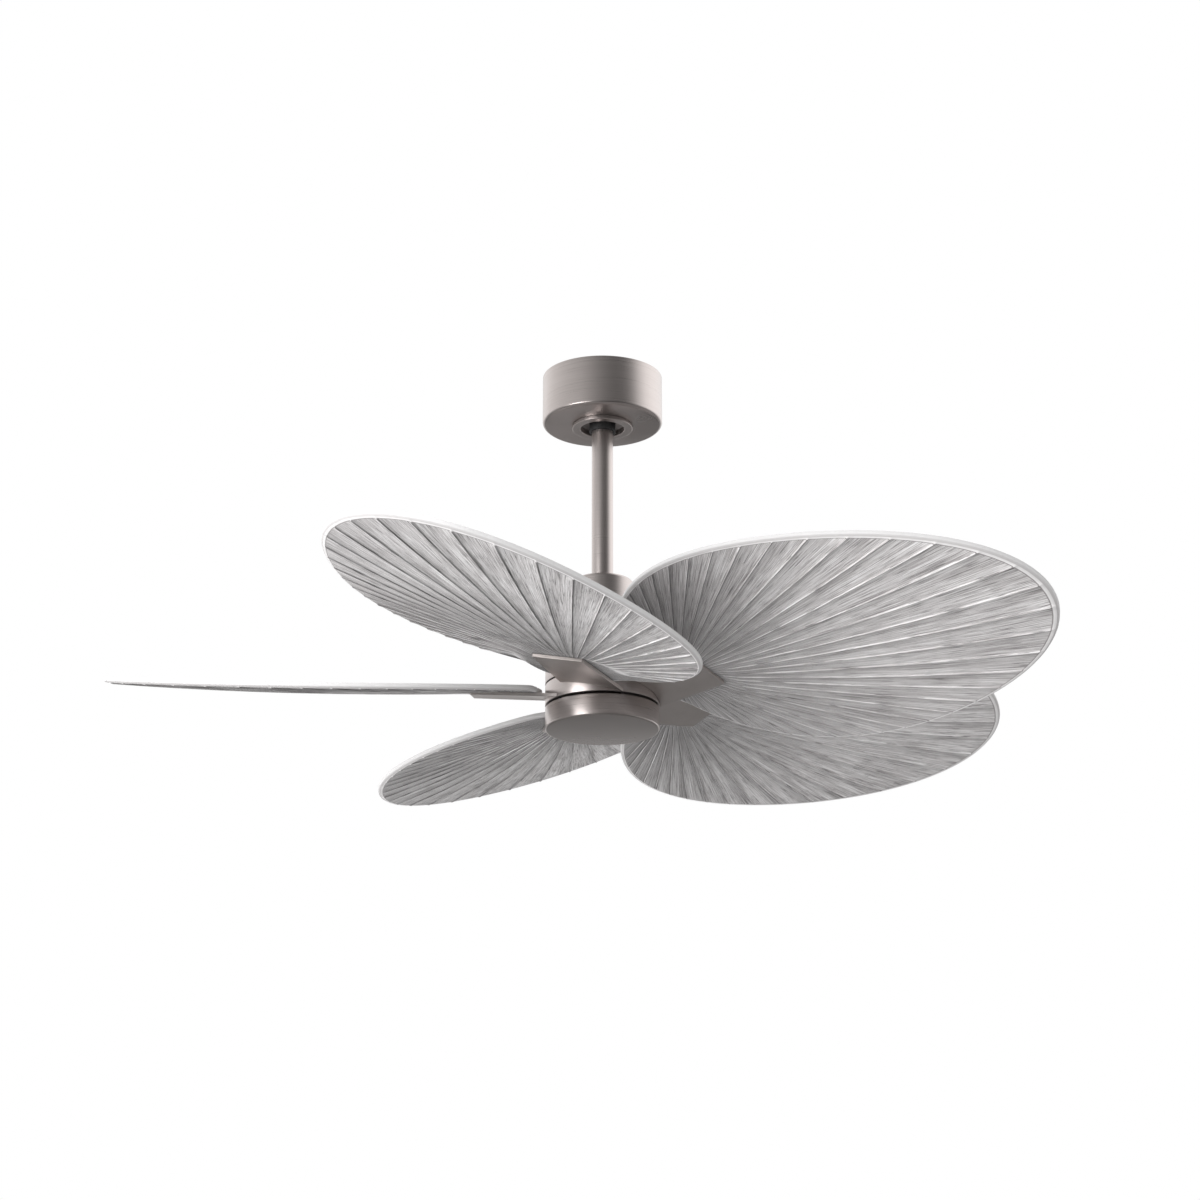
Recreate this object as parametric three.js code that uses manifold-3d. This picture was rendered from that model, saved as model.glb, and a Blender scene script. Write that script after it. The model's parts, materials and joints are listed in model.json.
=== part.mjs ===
// A five-blade ceiling fan with palm-leaf blades, on one downrod.
// Millimetres, +Z up. The origin is on the rod's axis, in the plane of the ceiling.
import * as THREE from "three";
import { mergeVertices } from "three/addons/utils/BufferGeometryUtils.js";
import Module from "manifold-3d";

const wasm = await Module();
wasm.setup();

// ---- Clearances ----
const FIT = 0.3; // between two pieces that are fitted together
const RUN = 1.0; // between a turning piece and a still one, across the motor's air gap
const PAST = 1; // how far a cutting shape runs past the faces it cuts
const SINK = 0.5; // how far two joined shapes reach into each other

// ---- Ceiling bracket, canopy and its trim ring ----
const CANOPY_R = 75.5;
const CANOPY_DEPTH = 64.5;
const CANOPY_WALL = 1.2;
const CANOPY_FILLET = 5;
const CANOPY_HOLE_R = 29.5;
const TRIM_R = 38;
const TRIM_HOLE_R = 27.5;
const TRIM_DEPTH = 4.5;
const TRIM_LIP = 8;
const TRIM_WALL = 1.2;
const TRIM_CHAMFER = 1;
const PLATE_LENGTH = 98;
const PLATE_WIDTH = 38;
const PLATE_THICK = 3;
const LEG_WIDTH = 22;
const LEG_THICK = 8;
const CRADLE_THICK = 7;
const CRADLE_LOW = 16; // from the ball's centre down to the cradle's underside
const SCREW_SHANK_R = 2;
const SCREW_HEAD_R = 3.2;
const SCREW_HEAD_H = 2.2;
const CANOPY_SCREW_OUT = 33;
const CANOPY_SCREW_LENGTH = 8;
const BRACKET_SCREW_OUT = 43.5;

// ---- Hanger ball, pin and downrod ----
const BALL_R = 25;
const BALL_DROP = 34; // ball's centre below the ceiling
const BALL_TOP = 16; // above its centre
const BALL_FOOT = 20; // below its centre
const ROD_R = 13.35;
const ROD_BORE_R = 10.6;
const ROD_ABOVE_BALL = 14; // from the ball's centre up to the rod's top
const ROD_LENGTH = 310;
const ROD_TOP = BALL_DROP - ROD_ABOVE_BALL;
const ROD_END = ROD_TOP + ROD_LENGTH;
const PIN_R = 3;
const PIN_LENGTH = 46;
const PIN_HEAD = 2; // how much wider a pin's head is
const PIN_FOOT = 5; // how far a pin runs past the coupler

// ---- Coupler, its cover and the motor housing ----
const COUPLER_R = 18;
const COUPLER_GRIP = 30; // length of rod that it holds
const COUPLER_FOOT = 18.5; // from the rod's end down to the housing
const COUPLER_TOP = ROD_END - COUPLER_GRIP;
const FLANGE_R = 30;
const FLANGE_THICK = 4.2;
const CLEVIS_DROP = COUPLER_TOP + 12;
const CLIP_WIRE_R = 0.8;
const SET_SCREW_DROP = CLEVIS_DROP + 11;
const SET_SCREW_LENGTH = 6.65;
const COVER_R = 38;
const COVER_DEPTH = 76.6;
const COVER_FILLET = 4;
const COVER_WALL = 1.5;
const HUB_R = 70; // housing, rotor band and bottom cap share it
const HUB_WALL = 1.5;
const HOUSING_TOP = ROD_END + COUPLER_FOOT;
const HOUSING_DEPTH = 57.7;
const HOUSING_END = HOUSING_TOP + HOUSING_DEPTH;
const HOUSING_FILLET = 9;
const HOUSING_HOLE_R = 11.5;
const HOUSING_SCREW_OUT = 24;
const HOUSING_SCREW_LENGTH = 8.7;

// ---- Motor ----
const SHAFT_R = 8.5;
const SHAFT_BORE_R = 5.5;
const SHAFT_TOP = ROD_END + 3;
const ROTOR_GAP = 1.8; // between the housing and the rotor
const ROTOR_TOP = HOUSING_END + ROTOR_GAP;
const ROTOR_PLATE = 3.5;
const BAND_DEPTH = 25;
const BAND_END = ROTOR_TOP + BAND_DEPTH;
const BAND_WALL = 2.8;
const WEDGE_TALL = 22; // block over each arm's tongue, cut to the arm's slope
const WEDGE_SINK = 1; // how far it reaches into the rotor plate
const BEARING_R = 19;
const BEARING_WIDTH = 10;
const INNER_RACE_WALL = 3.2;
const OUTER_RACE_WALL = 4.2;
const BALLS = 8;
const BALLS_IN = 2; // from a race's face to the balls
const BALL_NECK = 0.3; // share of a ball's size left between two of them
const UPPER_BEARING_TOP = HOUSING_TOP + 9.5;
const LOWER_BEARING_TOP = ROTOR_TOP - 5;
const HUB_TUBE_WALL = 3.7;
const HUB_TUBE_LIP = 1; // how far a bearing's tube runs past it
const STATOR_ENDS = 37.7; // height in the housing that the stack leaves to bearings and coils
const STATOR_TOP = UPPER_BEARING_TOP + BEARING_WIDTH + 8;
const STATOR_STACK = HOUSING_DEPTH - STATOR_ENDS;
const STATOR_R = 50;
const STATOR_HUB_R = 24;
const TEETH = 9;
const TOOTH_WIDTH = 8;
const TOOTH_TIP = 4;
const TIP_SHARE = 0.84; // of a tooth's pitch
const TIP_SLOPE = 1;
const COIL_HEIGHT = 3;
const COIL_FLARE = 3; // how much wider each side of a coil is at its outer end
const COIL_SPACING = 1.2; // between two coils at their roots
const COIL_ROOT_OUT = 2.5; // from the stator's hub
const CROSSOVER_WIDTH = 3;
const CROSSOVER_RISE = 0.6; // above the coils
const MAGNET_WALL = 5.7;
const MAGNET_PAST = 3; // beyond each end of the stack
const BELL_WALL = 3;

// ---- Bottom cap ----
const CAP_GAP = 2.6; // between the rotor band and the cap
const CAP_TOP = BAND_END + CAP_GAP;
const CAP_DEPTH = 27.4;
const CAP_END = CAP_TOP + CAP_DEPTH;
const CAP_FILLET = 2.5;
const CAP_PLATE_DROP = CAP_TOP + 2.4;
const CAP_PLATE_THICK = 3;
const SPACER_R = 12;
const NUT_R = 13;
const NUT_THICK = 6;
const SHAFT_END = CAP_PLATE_DROP + CAP_PLATE_THICK + FIT + NUT_THICK + 4.7;
const BOARD_LENGTH = 56;
const BOARD_WIDTH = 36;
const BOARD_THICK = 1.6;
const BOARD_OFF = 9; // from the cap plate down to the board
const BOARD_OUT = 4; // from the spacer's radius to the board
const BOARD_POST_R = 2.5;
const BOARD_POST_IN = 4;
const BOARD_PARTS = [ // length, width and height, then where its middle is
  [10, 18, 6, -5, -8],
  [12, 12, 5, 5, 14],
  [6, 6, 7, 8, -12],
];

// ---- Blade arms ----
const BLADES = 5;
const FIRST_AZIMUTH = 250.5; // degrees, where the blade that is nearest in the photograph points
const ARM_PITCH = 12.2; // degrees
const ARM_RISE = 2.4; // degrees
const ARM_DROP = ROTOR_TOP + 17.3; // the underside's plane, on the fan's axis
const ARM_THICK = 4.2;
const ARM_SKIN = 0.8; // left below the blade screws, so that none shows
const ARM_END = 160;
const ARM_END_HALF = 32.8;
const ARM_CHAMFER = 1.5;
const ARM_ROOT = 42; // inner end of its outline, before the hub is cut away
const ARM_ROOT_HIGH = 33; // half width there on the raised side
const ARM_ROOT_LOW = 49; // and on the lowered side
const TONGUE_HALF = 15;
const TONGUE_IN = 40;
const TONGUE_OUT = HUB_R + 10;
const ARM_BOLT_AT = 52;
const ARM_BOLT_LENGTH = 9.2;
const BLADE_SCREW_AT = 147;
const BLADE_SCREW_OUT = 17;

// ---- Blades ----
const BLADE_PITCH = 15.9; // degrees
const BLADE_RISE = 1.57; // degrees
const BLADE_DROP = ARM_DROP - 1.8; // the plane of the pleats' ridges, on the fan's axis
const BLADE_MID = 338.6; // from the axis to the middle of the outline
const BLADE_HALF_LENGTH = 260.5;
const BLADE_HALF_WIDTH = 225;
const EGG = 0.126; // how much broader the inner end is
const EGG_FLAT = 0.067; // flattens the long sides
const EGG_SHIFT = 4.1; // moves the broadest place inwards
const EGG_BASE = 8.2; // flattens the inner end and draws out the tip
const BOWL_ALONG = 9.9e3; // the blade is dished: run squared over twice the rise, along it
const BOWL_ACROSS = 11.1e3; // and across it
const FAN_AT = 112; // the point that the pleats spread from
const PLEATS = 34;
const PLEAT_ANGLE = 5.2; // degrees
const PLEAT_STEEP = 0.12; // share of a pleat taken by its steep side
const PLEAT_DEPTH = 3;
const BACK_STEPS = 6; // outline steps behind the fan
const PAD_R = 58; // flat seat round the fan's point
const PAD_THICK = 6;
const PLEAT_FULL_R = 92; // from here on the pleats have their full depth
const SKIN = 3;
const RIM_WIDTH = 7;
const RIM_LOW = 3.6; // rim's lower edge above the ridges
const RIM_HEIGHT = 5.5;
const RIM_LEAST = 2; // least width of the rim, where the outline turns towards the fan's point
const PAD_SHARE = 0.7; // most of the way to the rim that the pad may take
const MIDDLE_AT = 0.45; // where the ring between pad and rim lies

// ---- Sides of round pieces ----
const WELL_SIDES = 40;
const LARGE = 24;
const MEDIUM = 16;
const SMALL = 12;
const TINY = 6;

const TURN = 2 * Math.PI;
const rad = THREE.MathUtils.degToRad;
const model = new THREE.Group();

// ---- Materials ----
const finish = (color, roughness, metalness) =>
  new THREE.MeshStandardMaterial({ color, roughness, metalness });
const brushedNickel = finish("#aaa29d", 0.38, 1);
const greyedWood = finish("#aeabaa", 0.72, 0);
const blackPlastic = finish("#1c1c1d", 0.55, 0);
const zincSteel = finish("#8d8f91", 0.42, 1);
const bearingSteel = finish("#b9bcc0", 0.22, 1);
const castAluminium = finish("#a5a7a8", 0.55, 1);
const laminatedSteel = finish("#6f7276", 0.5, 1);
const copperWire = finish("#b4652f", 0.35, 1);
const ferrite = finish("#37373a", 0.6, 0.2);
const circuitBoard = finish("#24543a", 0.6, 0);

// ---- Solids ----

// A closed geometry as a solid that can be cut and joined.
function solid(geometry) {
  const bare = geometry.index ? geometry.toNonIndexed() : geometry.clone();
  bare.deleteAttribute("normal");
  bare.deleteAttribute("uv");
  const merged = mergeVertices(bare, 1e-4);
  const vertProperties = new Float32Array(merged.attributes.position.array);
  const triVerts = new Uint32Array(merged.index.array);
  return new wasm.Manifold(new wasm.Mesh({ numProp: 3, vertProperties, triVerts }));
}

function geometryOf(body) {
  const { vertProperties, triVerts } = body.getMesh();
  const geometry = new THREE.BufferGeometry();
  geometry.setAttribute("position", new THREE.BufferAttribute(vertProperties, 3));
  geometry.setIndex(new THREE.BufferAttribute(triVerts, 1));
  return geometry;
}

function add(name, shape, material, parent = model) {
  const geometry = shape.isBufferGeometry ? shape : geometryOf(shape);
  const mesh = new THREE.Mesh(geometry, material);
  mesh.name = name;
  parent.add(mesh);
  return mesh;
}

// Points of an arc in a profile, as [radius, height] pairs; angles in degrees.
function arc(r, z, size, from, to, steps) {
  const angle = (i) => rad(from + ((to - from) * i) / steps);
  return Array.from({ length: steps + 1 }, (_, i) => [
    r + size * Math.cos(angle(i)),
    z + size * Math.sin(angle(i)),
  ]);
}

// Turns a closed profile round the Z axis. A profile that stays off the axis is closed into a ring.
function turned(profile, segments) {
  const points = profile.map(([r, z]) => new THREE.Vector2(r, z));
  if (THREE.ShapeUtils.area(points) < 0) points.reverse();
  const onAxis = points.filter((p) => p.x === 0).length === 2;
  while (onAxis && !(points[0].x === 0 && points.at(-1).x === 0)) points.push(points.shift());
  if (!onAxis) points.push(points[0].clone());
  return new THREE.LatheGeometry(points, segments).rotateX(Math.PI / 2);
}

const ring = (inner, outer, top, bottom, segments) =>
  turned([[inner, bottom], [outer, bottom], [outer, top], [inner, top]], segments);

const disc = (r, top, bottom, segments) =>
  turned([[0, bottom], [r, bottom], [r, top], [0, top]], segments);

// A rod of radius r along Y, centred on [x, y, z].
const crossRod = (r, length, segments, [x, y, z]) =>
  new THREE.CylinderGeometry(r, r, length, segments).translate(x, y, z);

const block = (dx, dy, dz, [x, y, z]) => new THREE.BoxGeometry(dx, dy, dz).translate(x, y, z);

const extruded = (shape, height, z) =>
  new THREE.ExtrudeGeometry(shape, { depth: height, bevelEnabled: false }).translate(0, 0, z);

// A pan-head screw on the Z axis, its head's seat at height 0 and its shank going down.
const screw = (length) =>
  turned(
    [
      [0, -length],
      [SCREW_SHANK_R, -length],
      [SCREW_SHANK_R, 0],
      [SCREW_HEAD_R, 0],
      [SCREW_HEAD_R, SCREW_HEAD_H],
      [0, SCREW_HEAD_H],
    ],
    TINY,
  );

// ---- Ceiling bracket and canopy ----

function makeBracket() {
  const cradleLow = -BALL_DROP - CRADLE_LOW;
  const legIn = CANOPY_SCREW_OUT - LEG_THICK / 2;
  const legLow = -CANOPY_DEPTH + CANOPY_WALL + FIT;
  let body = solid(block(PLATE_LENGTH, PLATE_WIDTH, PLATE_THICK, [0, 0, -PLATE_THICK / 2]));
  body = body.add(solid(disc(legIn + LEG_THICK / 2, cradleLow + CRADLE_THICK, cradleLow, MEDIUM)));
  for (const side of [-1, 1]) {
    const x = side * CANOPY_SCREW_OUT;
    body = body.add(solid(block(LEG_THICK, LEG_WIDTH, -legLow, [x, 0, legLow / 2])));
    const hole = disc(SCREW_SHANK_R + FIT, legLow + CANOPY_SCREW_LENGTH + PAST, legLow - PAST, TINY);
    body = body.subtract(solid(hole.translate(x, 0, 0)));
    const boltHole = disc(SCREW_SHANK_R + FIT, PAST, -PLATE_THICK - PAST, TINY);
    body = body.subtract(solid(boltHole.translate(side * BRACKET_SCREW_OUT, 0, 0)));
  }
  const seat = new THREE.SphereGeometry(BALL_R + FIT, LARGE, MEDIUM).translate(0, 0, -BALL_DROP);
  const entry = block(2 * (ROD_R + RUN), 2 * BALL_R, 3 * CRADLE_THICK, [0, -BALL_R, cradleLow]);
  return body.subtract(solid(seat)).subtract(solid(entry));
}

function makeCanopy() {
  const out = CANOPY_R;
  const low = -CANOPY_DEPTH;
  const inner = out - CANOPY_WALL;
  const floor = low + CANOPY_WALL;
  const shell = turned(
    [
      [CANOPY_HOLE_R, low],
      ...arc(out - CANOPY_FILLET, low + CANOPY_FILLET, CANOPY_FILLET, -90, 0, 3),
      [out, 0],
      [inner, 0],
      [inner, floor + CANOPY_FILLET - CANOPY_WALL],
      [inner - CANOPY_FILLET + CANOPY_WALL, floor],
      [CANOPY_HOLE_R, floor],
    ],
    LARGE,
  );
  let body = solid(shell);
  for (const side of [-1, 1]) {
    const hole = disc(SCREW_SHANK_R + FIT, floor + PAST, low - PAST, TINY);
    body = body.subtract(solid(hole.translate(side * CANOPY_SCREW_OUT, 0, 0)));
  }
  return body;
}

// A channel that hides the canopy's screws; its lip goes up through the canopy's hole.
function makeTrimRing() {
  const top = -CANOPY_DEPTH - FIT;
  const low = top - TRIM_DEPTH;
  const wall = TRIM_WALL;
  return turned(
    [
      [TRIM_R, top],
      [TRIM_R, low + TRIM_CHAMFER],
      [TRIM_R - TRIM_CHAMFER, low],
      [TRIM_HOLE_R, low],
      [TRIM_HOLE_R, low + TRIM_LIP],
      [TRIM_HOLE_R + wall, low + TRIM_LIP],
      [TRIM_HOLE_R + wall, low + wall],
      [TRIM_R - wall, low + wall],
      [TRIM_R - wall, top],
    ],
    LARGE,
  );
}

function makeCeilingParts() {
  add("ceiling_bracket", makeBracket(), zincSteel);
  add("canopy", makeCanopy(), brushedNickel);
  add("canopy_trim_ring", makeTrimRing(), brushedNickel);
  [-1, 1].forEach((side, i) => {
    const canopyScrew = screw(CANOPY_SCREW_LENGTH).rotateX(Math.PI);
    const held = add(`canopy_screw_${i + 1}`, canopyScrew, zincSteel);
    held.position.set(side * CANOPY_SCREW_OUT, 0, -CANOPY_DEPTH - FIT);
    const upScrew = screw(PLATE_THICK).rotateX(Math.PI);
    const bolt = add(`bracket_screw_${i + 1}`, upScrew, zincSteel);
    bolt.position.set(side * BRACKET_SCREW_OUT, 0, -PLATE_THICK - FIT);
  });
}

// ---- Hanger ball, pin and downrod ----

function makeHangerBall() {
  const bore = ROD_R + FIT;
  const from = -THREE.MathUtils.radToDeg(Math.asin(BALL_FOOT / BALL_R));
  const to = THREE.MathUtils.radToDeg(Math.asin(BALL_TOP / BALL_R));
  const profile = [[bore, -BALL_FOOT], ...arc(0, 0, BALL_R, from, to, 6), [bore, BALL_TOP]];
  const body = solid(turned(profile, MEDIUM).translate(0, 0, -BALL_DROP));
  return body.subtract(solid(crossRod(PIN_R + FIT, 3 * BALL_R, TINY, [0, 0, -BALL_DROP])));
}

function makeDownrod() {
  let body = solid(ring(ROD_BORE_R, ROD_R, -ROD_TOP, -ROD_END, MEDIUM));
  for (const drop of [BALL_DROP, CLEVIS_DROP])
    body = body.subtract(solid(crossRod(PIN_R + FIT, 3 * ROD_R, TINY, [0, 0, -drop])));
  return body;
}

// ---- Coupler, cover and motor housing ----

function makeCoupler() {
  const foot = -HOUSING_TOP + FIT;
  const step = -ROD_END - FIT;
  const bore = ROD_R + FIT;
  const shaftBore = SHAFT_R + FIT;
  const flangeTop = foot + FLANGE_THICK;
  let body = solid(
    turned(
      [
        [bore, -COUPLER_TOP],
        [COUPLER_R, -COUPLER_TOP],
        [COUPLER_R, flangeTop],
        [FLANGE_R, flangeTop],
        [FLANGE_R, foot],
        [shaftBore, foot],
        [shaftBore, step],
        [bore, step],
      ],
      MEDIUM,
    ),
  );
  body = body.subtract(solid(crossRod(PIN_R + FIT, 3 * COUPLER_R, TINY, [0, 0, -CLEVIS_DROP])));
  for (const side of [-1, 1]) {
    const hole = disc(SCREW_SHANK_R + FIT, flangeTop + PAST, foot - PAST, TINY);
    body = body.subtract(solid(hole.translate(side * HOUSING_SCREW_OUT, 0, 0)));
  }
  const setHole = crossRod(SCREW_SHANK_R + FIT, COUPLER_R, TINY, [0, COUPLER_R, -SET_SCREW_DROP]);
  return body.subtract(solid(setHole.rotateZ(-Math.PI / 2)));
}

function makeCouplingCover() {
  const low = -HOUSING_TOP + FIT;
  const top = low + COVER_DEPTH;
  const inner = COVER_R - COVER_WALL;
  const hole = ROD_R + FIT;
  return turned(
    [
      [COVER_R, low],
      ...arc(COVER_R - COVER_FILLET, top - COVER_FILLET, COVER_FILLET, 0, 90, 3),
      [hole, top],
      [hole, top - COVER_WALL],
      [inner - COVER_FILLET + COVER_WALL, top - COVER_WALL],
      [inner, top - COVER_FILLET],
      [inner, low],
    ],
    LARGE,
  );
}

function makeHousing() {
  const top = -HOUSING_TOP;
  const low = -HOUSING_END;
  const inner = HUB_R - HUB_WALL;
  const ceiling = top - HUB_WALL;
  let body = solid(
    turned(
      [
        [HUB_R, low],
        ...arc(HUB_R - HOUSING_FILLET, top - HOUSING_FILLET, HOUSING_FILLET, 0, 90, 3),
        [HOUSING_HOLE_R, top],
        [HOUSING_HOLE_R, ceiling],
        ...arc(HUB_R - HOUSING_FILLET, top - HOUSING_FILLET, HOUSING_FILLET - HUB_WALL, 90, 0, 2),
        [inner, low],
      ],
      LARGE,
    ),
  );
  for (const side of [-1, 1]) {
    const screwHole = disc(SCREW_SHANK_R + FIT, top + PAST, ceiling - PAST, TINY);
    body = body.subtract(solid(screwHole.translate(side * HOUSING_SCREW_OUT, 0, 0)));
  }
  return body;
}

function makeCouplerFasteners() {
  const pinHalf = COUPLER_R + PIN_FOOT;
  const headAt = COUPLER_R + FIT + PIN_R / 2;
  const pin = solid(crossRod(PIN_R, pinHalf + headAt, TINY, [0, (pinHalf - headAt) / 2, -CLEVIS_DROP]));
  const head = crossRod(PIN_R + PIN_HEAD, PIN_R, TINY, [0, -headAt, -CLEVIS_DROP]);
  add("clevis_pin", pin.add(solid(head)), zincSteel);
  const clip = new THREE.TorusGeometry(PIN_R + FIT + CLIP_WIRE_R, CLIP_WIRE_R, 5, TINY).rotateX(Math.PI / 2);
  add("clevis_clip", clip.translate(0, COUPLER_R + FIT + CLIP_WIRE_R, -CLEVIS_DROP), zincSteel);
  const setMid = [0, ROD_R + FIT + SET_SCREW_LENGTH / 2, -SET_SCREW_DROP];
  const set = crossRod(SCREW_SHANK_R, SET_SCREW_LENGTH, TINY, setMid);
  add("rod_set_screw", set.rotateZ(-Math.PI / 2), zincSteel);
  const seat = -HOUSING_TOP + FIT + FLANGE_THICK + FIT;
  [-1, 1].forEach((side, i) => {
    const bolt = screw(HOUSING_SCREW_LENGTH);
    add(`housing_screw_${i + 1}`, bolt, zincSteel).position.set(side * HOUSING_SCREW_OUT, 0, seat);
  });
}

function makeDropParts() {
  add("hanger_pin", crossRod(PIN_R, PIN_LENGTH, TINY, [0, 0, -BALL_DROP]), zincSteel);
  add("hanger_ball", makeHangerBall(), blackPlastic);
  add("downrod", makeDownrod(), brushedNickel);
  add("rod_coupler", makeCoupler(), zincSteel);
  makeCouplerFasteners();
  add("coupling_cover", makeCouplingCover(), brushedNickel);
  add("motor_housing", makeHousing(), brushedNickel);
}

// ---- Motor: what stands still ----

const teethAngles = Array.from({ length: TEETH }, (_, i) => (TURN * i) / TEETH);
const polar = (r, a) => new THREE.Vector2(r * Math.cos(a), r * Math.sin(a));

function makeStatorCore() {
  const neck = STATOR_R - TOOTH_TIP;
  const half = (r) => Math.asin(TOOTH_WIDTH / 2 / r);
  const tip = (TIP_SHARE * TURN) / TEETH / 2;
  const corners = [
    [STATOR_HUB_R, -half(STATOR_HUB_R)],
    [neck, -half(neck)],
    [neck + TIP_SLOPE, -tip],
    [STATOR_R, -tip],
    [STATOR_R, 0],
    [STATOR_R, tip],
    [neck + TIP_SLOPE, tip],
    [neck, half(neck)],
    [STATOR_HUB_R, half(STATOR_HUB_R)],
  ];
  const shape = new THREE.Shape(teethAngles.flatMap((a) => corners.map(([r, da]) => polar(r, a + da))));
  const bore = new THREE.Path();
  bore.absarc(0, 0, SHAFT_R + FIT, 0, TURN, true);
  shape.holes.push(bore);
  const cut = { depth: STATOR_STACK, bevelEnabled: false, curveSegments: 8 };
  return new THREE.ExtrudeGeometry(shape, cut).translate(0, 0, -STATOR_TOP - STATOR_STACK);
}

// One coil round each tooth, joined by the crossover ring on top.
function makeWinding() {
  const neck = STATOR_R - TOOTH_TIP - RUN;
  const root = STATOR_HUB_R + COIL_ROOT_OUT;
  const tall = STATOR_STACK + 2 * COIL_HEIGHT;
  const low = -STATOR_TOP - STATOR_STACK - COIL_HEIGHT;
  const half = root * Math.tan(Math.PI / TEETH) - COIL_SPACING / 2;
  const hollow = block(2 * neck, TOOTH_WIDTH + 2 * FIT, STATOR_STACK + 2 * FIT, [
    neck,
    0,
    -STATOR_TOP - STATOR_STACK / 2,
  ]);
  const outline = new THREE.Shape([
    new THREE.Vector2(root, -half),
    new THREE.Vector2(neck, -half - COIL_FLARE),
    new THREE.Vector2(neck, half + COIL_FLARE),
    new THREE.Vector2(root, half),
  ]);
  const coil = solid(extruded(outline, tall, low)).subtract(solid(hollow));
  const top = low + tall;
  const crossover = solid(ring(root, root + CROSSOVER_WIDTH, top + CROSSOVER_RISE, top - SINK, TEETH * 2));
  return teethAngles.reduce(
    (body, a) => body.add(coil.rotate([0, 0, THREE.MathUtils.radToDeg(a)])),
    crossover,
  );
}

// A ball bearing is two races with a cage of balls between them.
function makeBearing(place, top) {
  const low = -top - BEARING_WIDTH;
  const innerR = SHAFT_R + FIT + INNER_RACE_WALL;
  const outerR = BEARING_R - OUTER_RACE_WALL;
  add(`${place}_bearing_inner_race`, ring(SHAFT_R + FIT, innerR, -top, low, SMALL), bearingSteel);
  add(`${place}_bearing_outer_race`, ring(outerR, BEARING_R, -top, low, SMALL), bearingSteel);
  const flats = outerR * Math.cos(Math.PI / SMALL); // the race's sides come nearer than its corners
  const mid = (innerR + flats) / 2;
  const swell = (flats - innerR) / 2 - FIT;
  const steps = BALLS * 2;
  const edge = (side) =>
    Array.from({ length: steps }, (_, i) => {
      const bulge = i % 2 ? BALL_NECK : 1;
      return polar(mid + side * swell * bulge, (TURN * i) / steps);
    });
  const shape = new THREE.Shape(edge(1));
  shape.holes.push(new THREE.Path(edge(-1).reverse()));
  add(`${place}_bearing_balls`, extruded(shape, BEARING_WIDTH - 2 * BALLS_IN, low + BALLS_IN), bearingSteel);
}

function makeStillMotorParts() {
  add("motor_shaft", ring(SHAFT_BORE_R, SHAFT_R, -SHAFT_TOP, -SHAFT_END, SMALL), bearingSteel);
  add("stator_core", makeStatorCore(), laminatedSteel);
  add("stator_winding", makeWinding(), copperWire);
  makeBearing("upper", UPPER_BEARING_TOP);
  makeBearing("lower", LOWER_BEARING_TOP);
}

// ---- Bottom cap ----

function makeCap() {
  const low = -CAP_END;
  const inner = HUB_R - HUB_WALL;
  return turned(
    [
      [0, low],
      ...arc(HUB_R - CAP_FILLET, low + CAP_FILLET, CAP_FILLET, -90, 0, 3),
      [HUB_R, -CAP_TOP],
      [inner, -CAP_TOP],
      [inner, low + CAP_FILLET],
      [inner - CAP_FILLET + HUB_WALL, low + HUB_WALL],
      [0, low + HUB_WALL],
    ],
    LARGE,
  );
}

function makeBoard(plateLow) {
  const top = plateLow - BOARD_OFF;
  const x = SPACER_R + BOARD_OUT + BOARD_WIDTH / 2;
  let body = solid(block(BOARD_WIDTH, BOARD_LENGTH, BOARD_THICK, [x, 0, top - BOARD_THICK / 2]));
  for (const [sx, sy] of [[-1, -1], [-1, 1], [1, -1], [1, 1]]) {
    const post = disc(BOARD_POST_R, plateLow - FIT, top - SINK, TINY);
    const at = [x + sx * (BOARD_WIDTH / 2 - BOARD_POST_IN), sy * (BOARD_LENGTH / 2 - BOARD_POST_IN)];
    body = body.add(solid(post.translate(...at, 0)));
  }
  for (const [dx, dy, dz, px, py] of BOARD_PARTS)
    body = body.add(solid(block(dx, dy, dz, [x + px, py, top + dz / 2 - SINK])));
  return body;
}

function makeBottomParts() {
  const plateTop = -CAP_PLATE_DROP;
  const plateLow = plateTop - CAP_PLATE_THICK;
  const bore = SHAFT_R + FIT;
  const spacerTop = -LOWER_BEARING_TOP - BEARING_WIDTH - FIT;
  add("shaft_spacer", ring(bore, SPACER_R, spacerTop, plateTop + FIT, SMALL), zincSteel);
  add("cap_plate", ring(bore, HUB_R - HUB_WALL - FIT, plateTop, plateLow, LARGE), zincSteel);
  const nutTop = plateLow - FIT;
  const nutLow = nutTop - NUT_THICK;
  const hexagon = solid(disc(NUT_R, nutTop, nutLow, 6));
  const nutBore = disc(bore, nutTop + PAST, nutLow - PAST, SMALL);
  add("shaft_nut", hexagon.subtract(solid(nutBore)), zincSteel);
  add("driver_board", makeBoard(plateLow), circuitBoard);
  add("bottom_cap", makeCap(), brushedNickel);
}

// ---- Arm and blade frames ----

// X runs out along the piece and Y across it, towards its lowered side; Z is its normal.
function tilted(drop, pitch, rise) {
  const frame = new THREE.Matrix4().makeTranslation(0, 0, -drop);
  frame.multiply(new THREE.Matrix4().makeRotationY(-rad(rise)));
  return frame.multiply(new THREE.Matrix4().makeRotationX(-rad(pitch)));
}

const armFrame = tilted(ARM_DROP, ARM_PITCH, ARM_RISE);
const bladeFrame = tilted(BLADE_DROP, BLADE_PITCH, BLADE_RISE);

// The arm's top face seen from the blade's frame, as a plane height over (x, y).
const seatPlane = (() => {
  const toBlade = bladeFrame.clone().invert().multiply(armFrame);
  const normal = new THREE.Vector3(0, 0, 1).transformDirection(toBlade);
  const point = new THREE.Vector3(0, 0, ARM_THICK + FIT).applyMatrix4(toBlade);
  return (x, y) => point.z - ((x - point.x) * normal.x + (y - point.y) * normal.y) / normal.z;
})();

// ---- Blade arms ----

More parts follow.
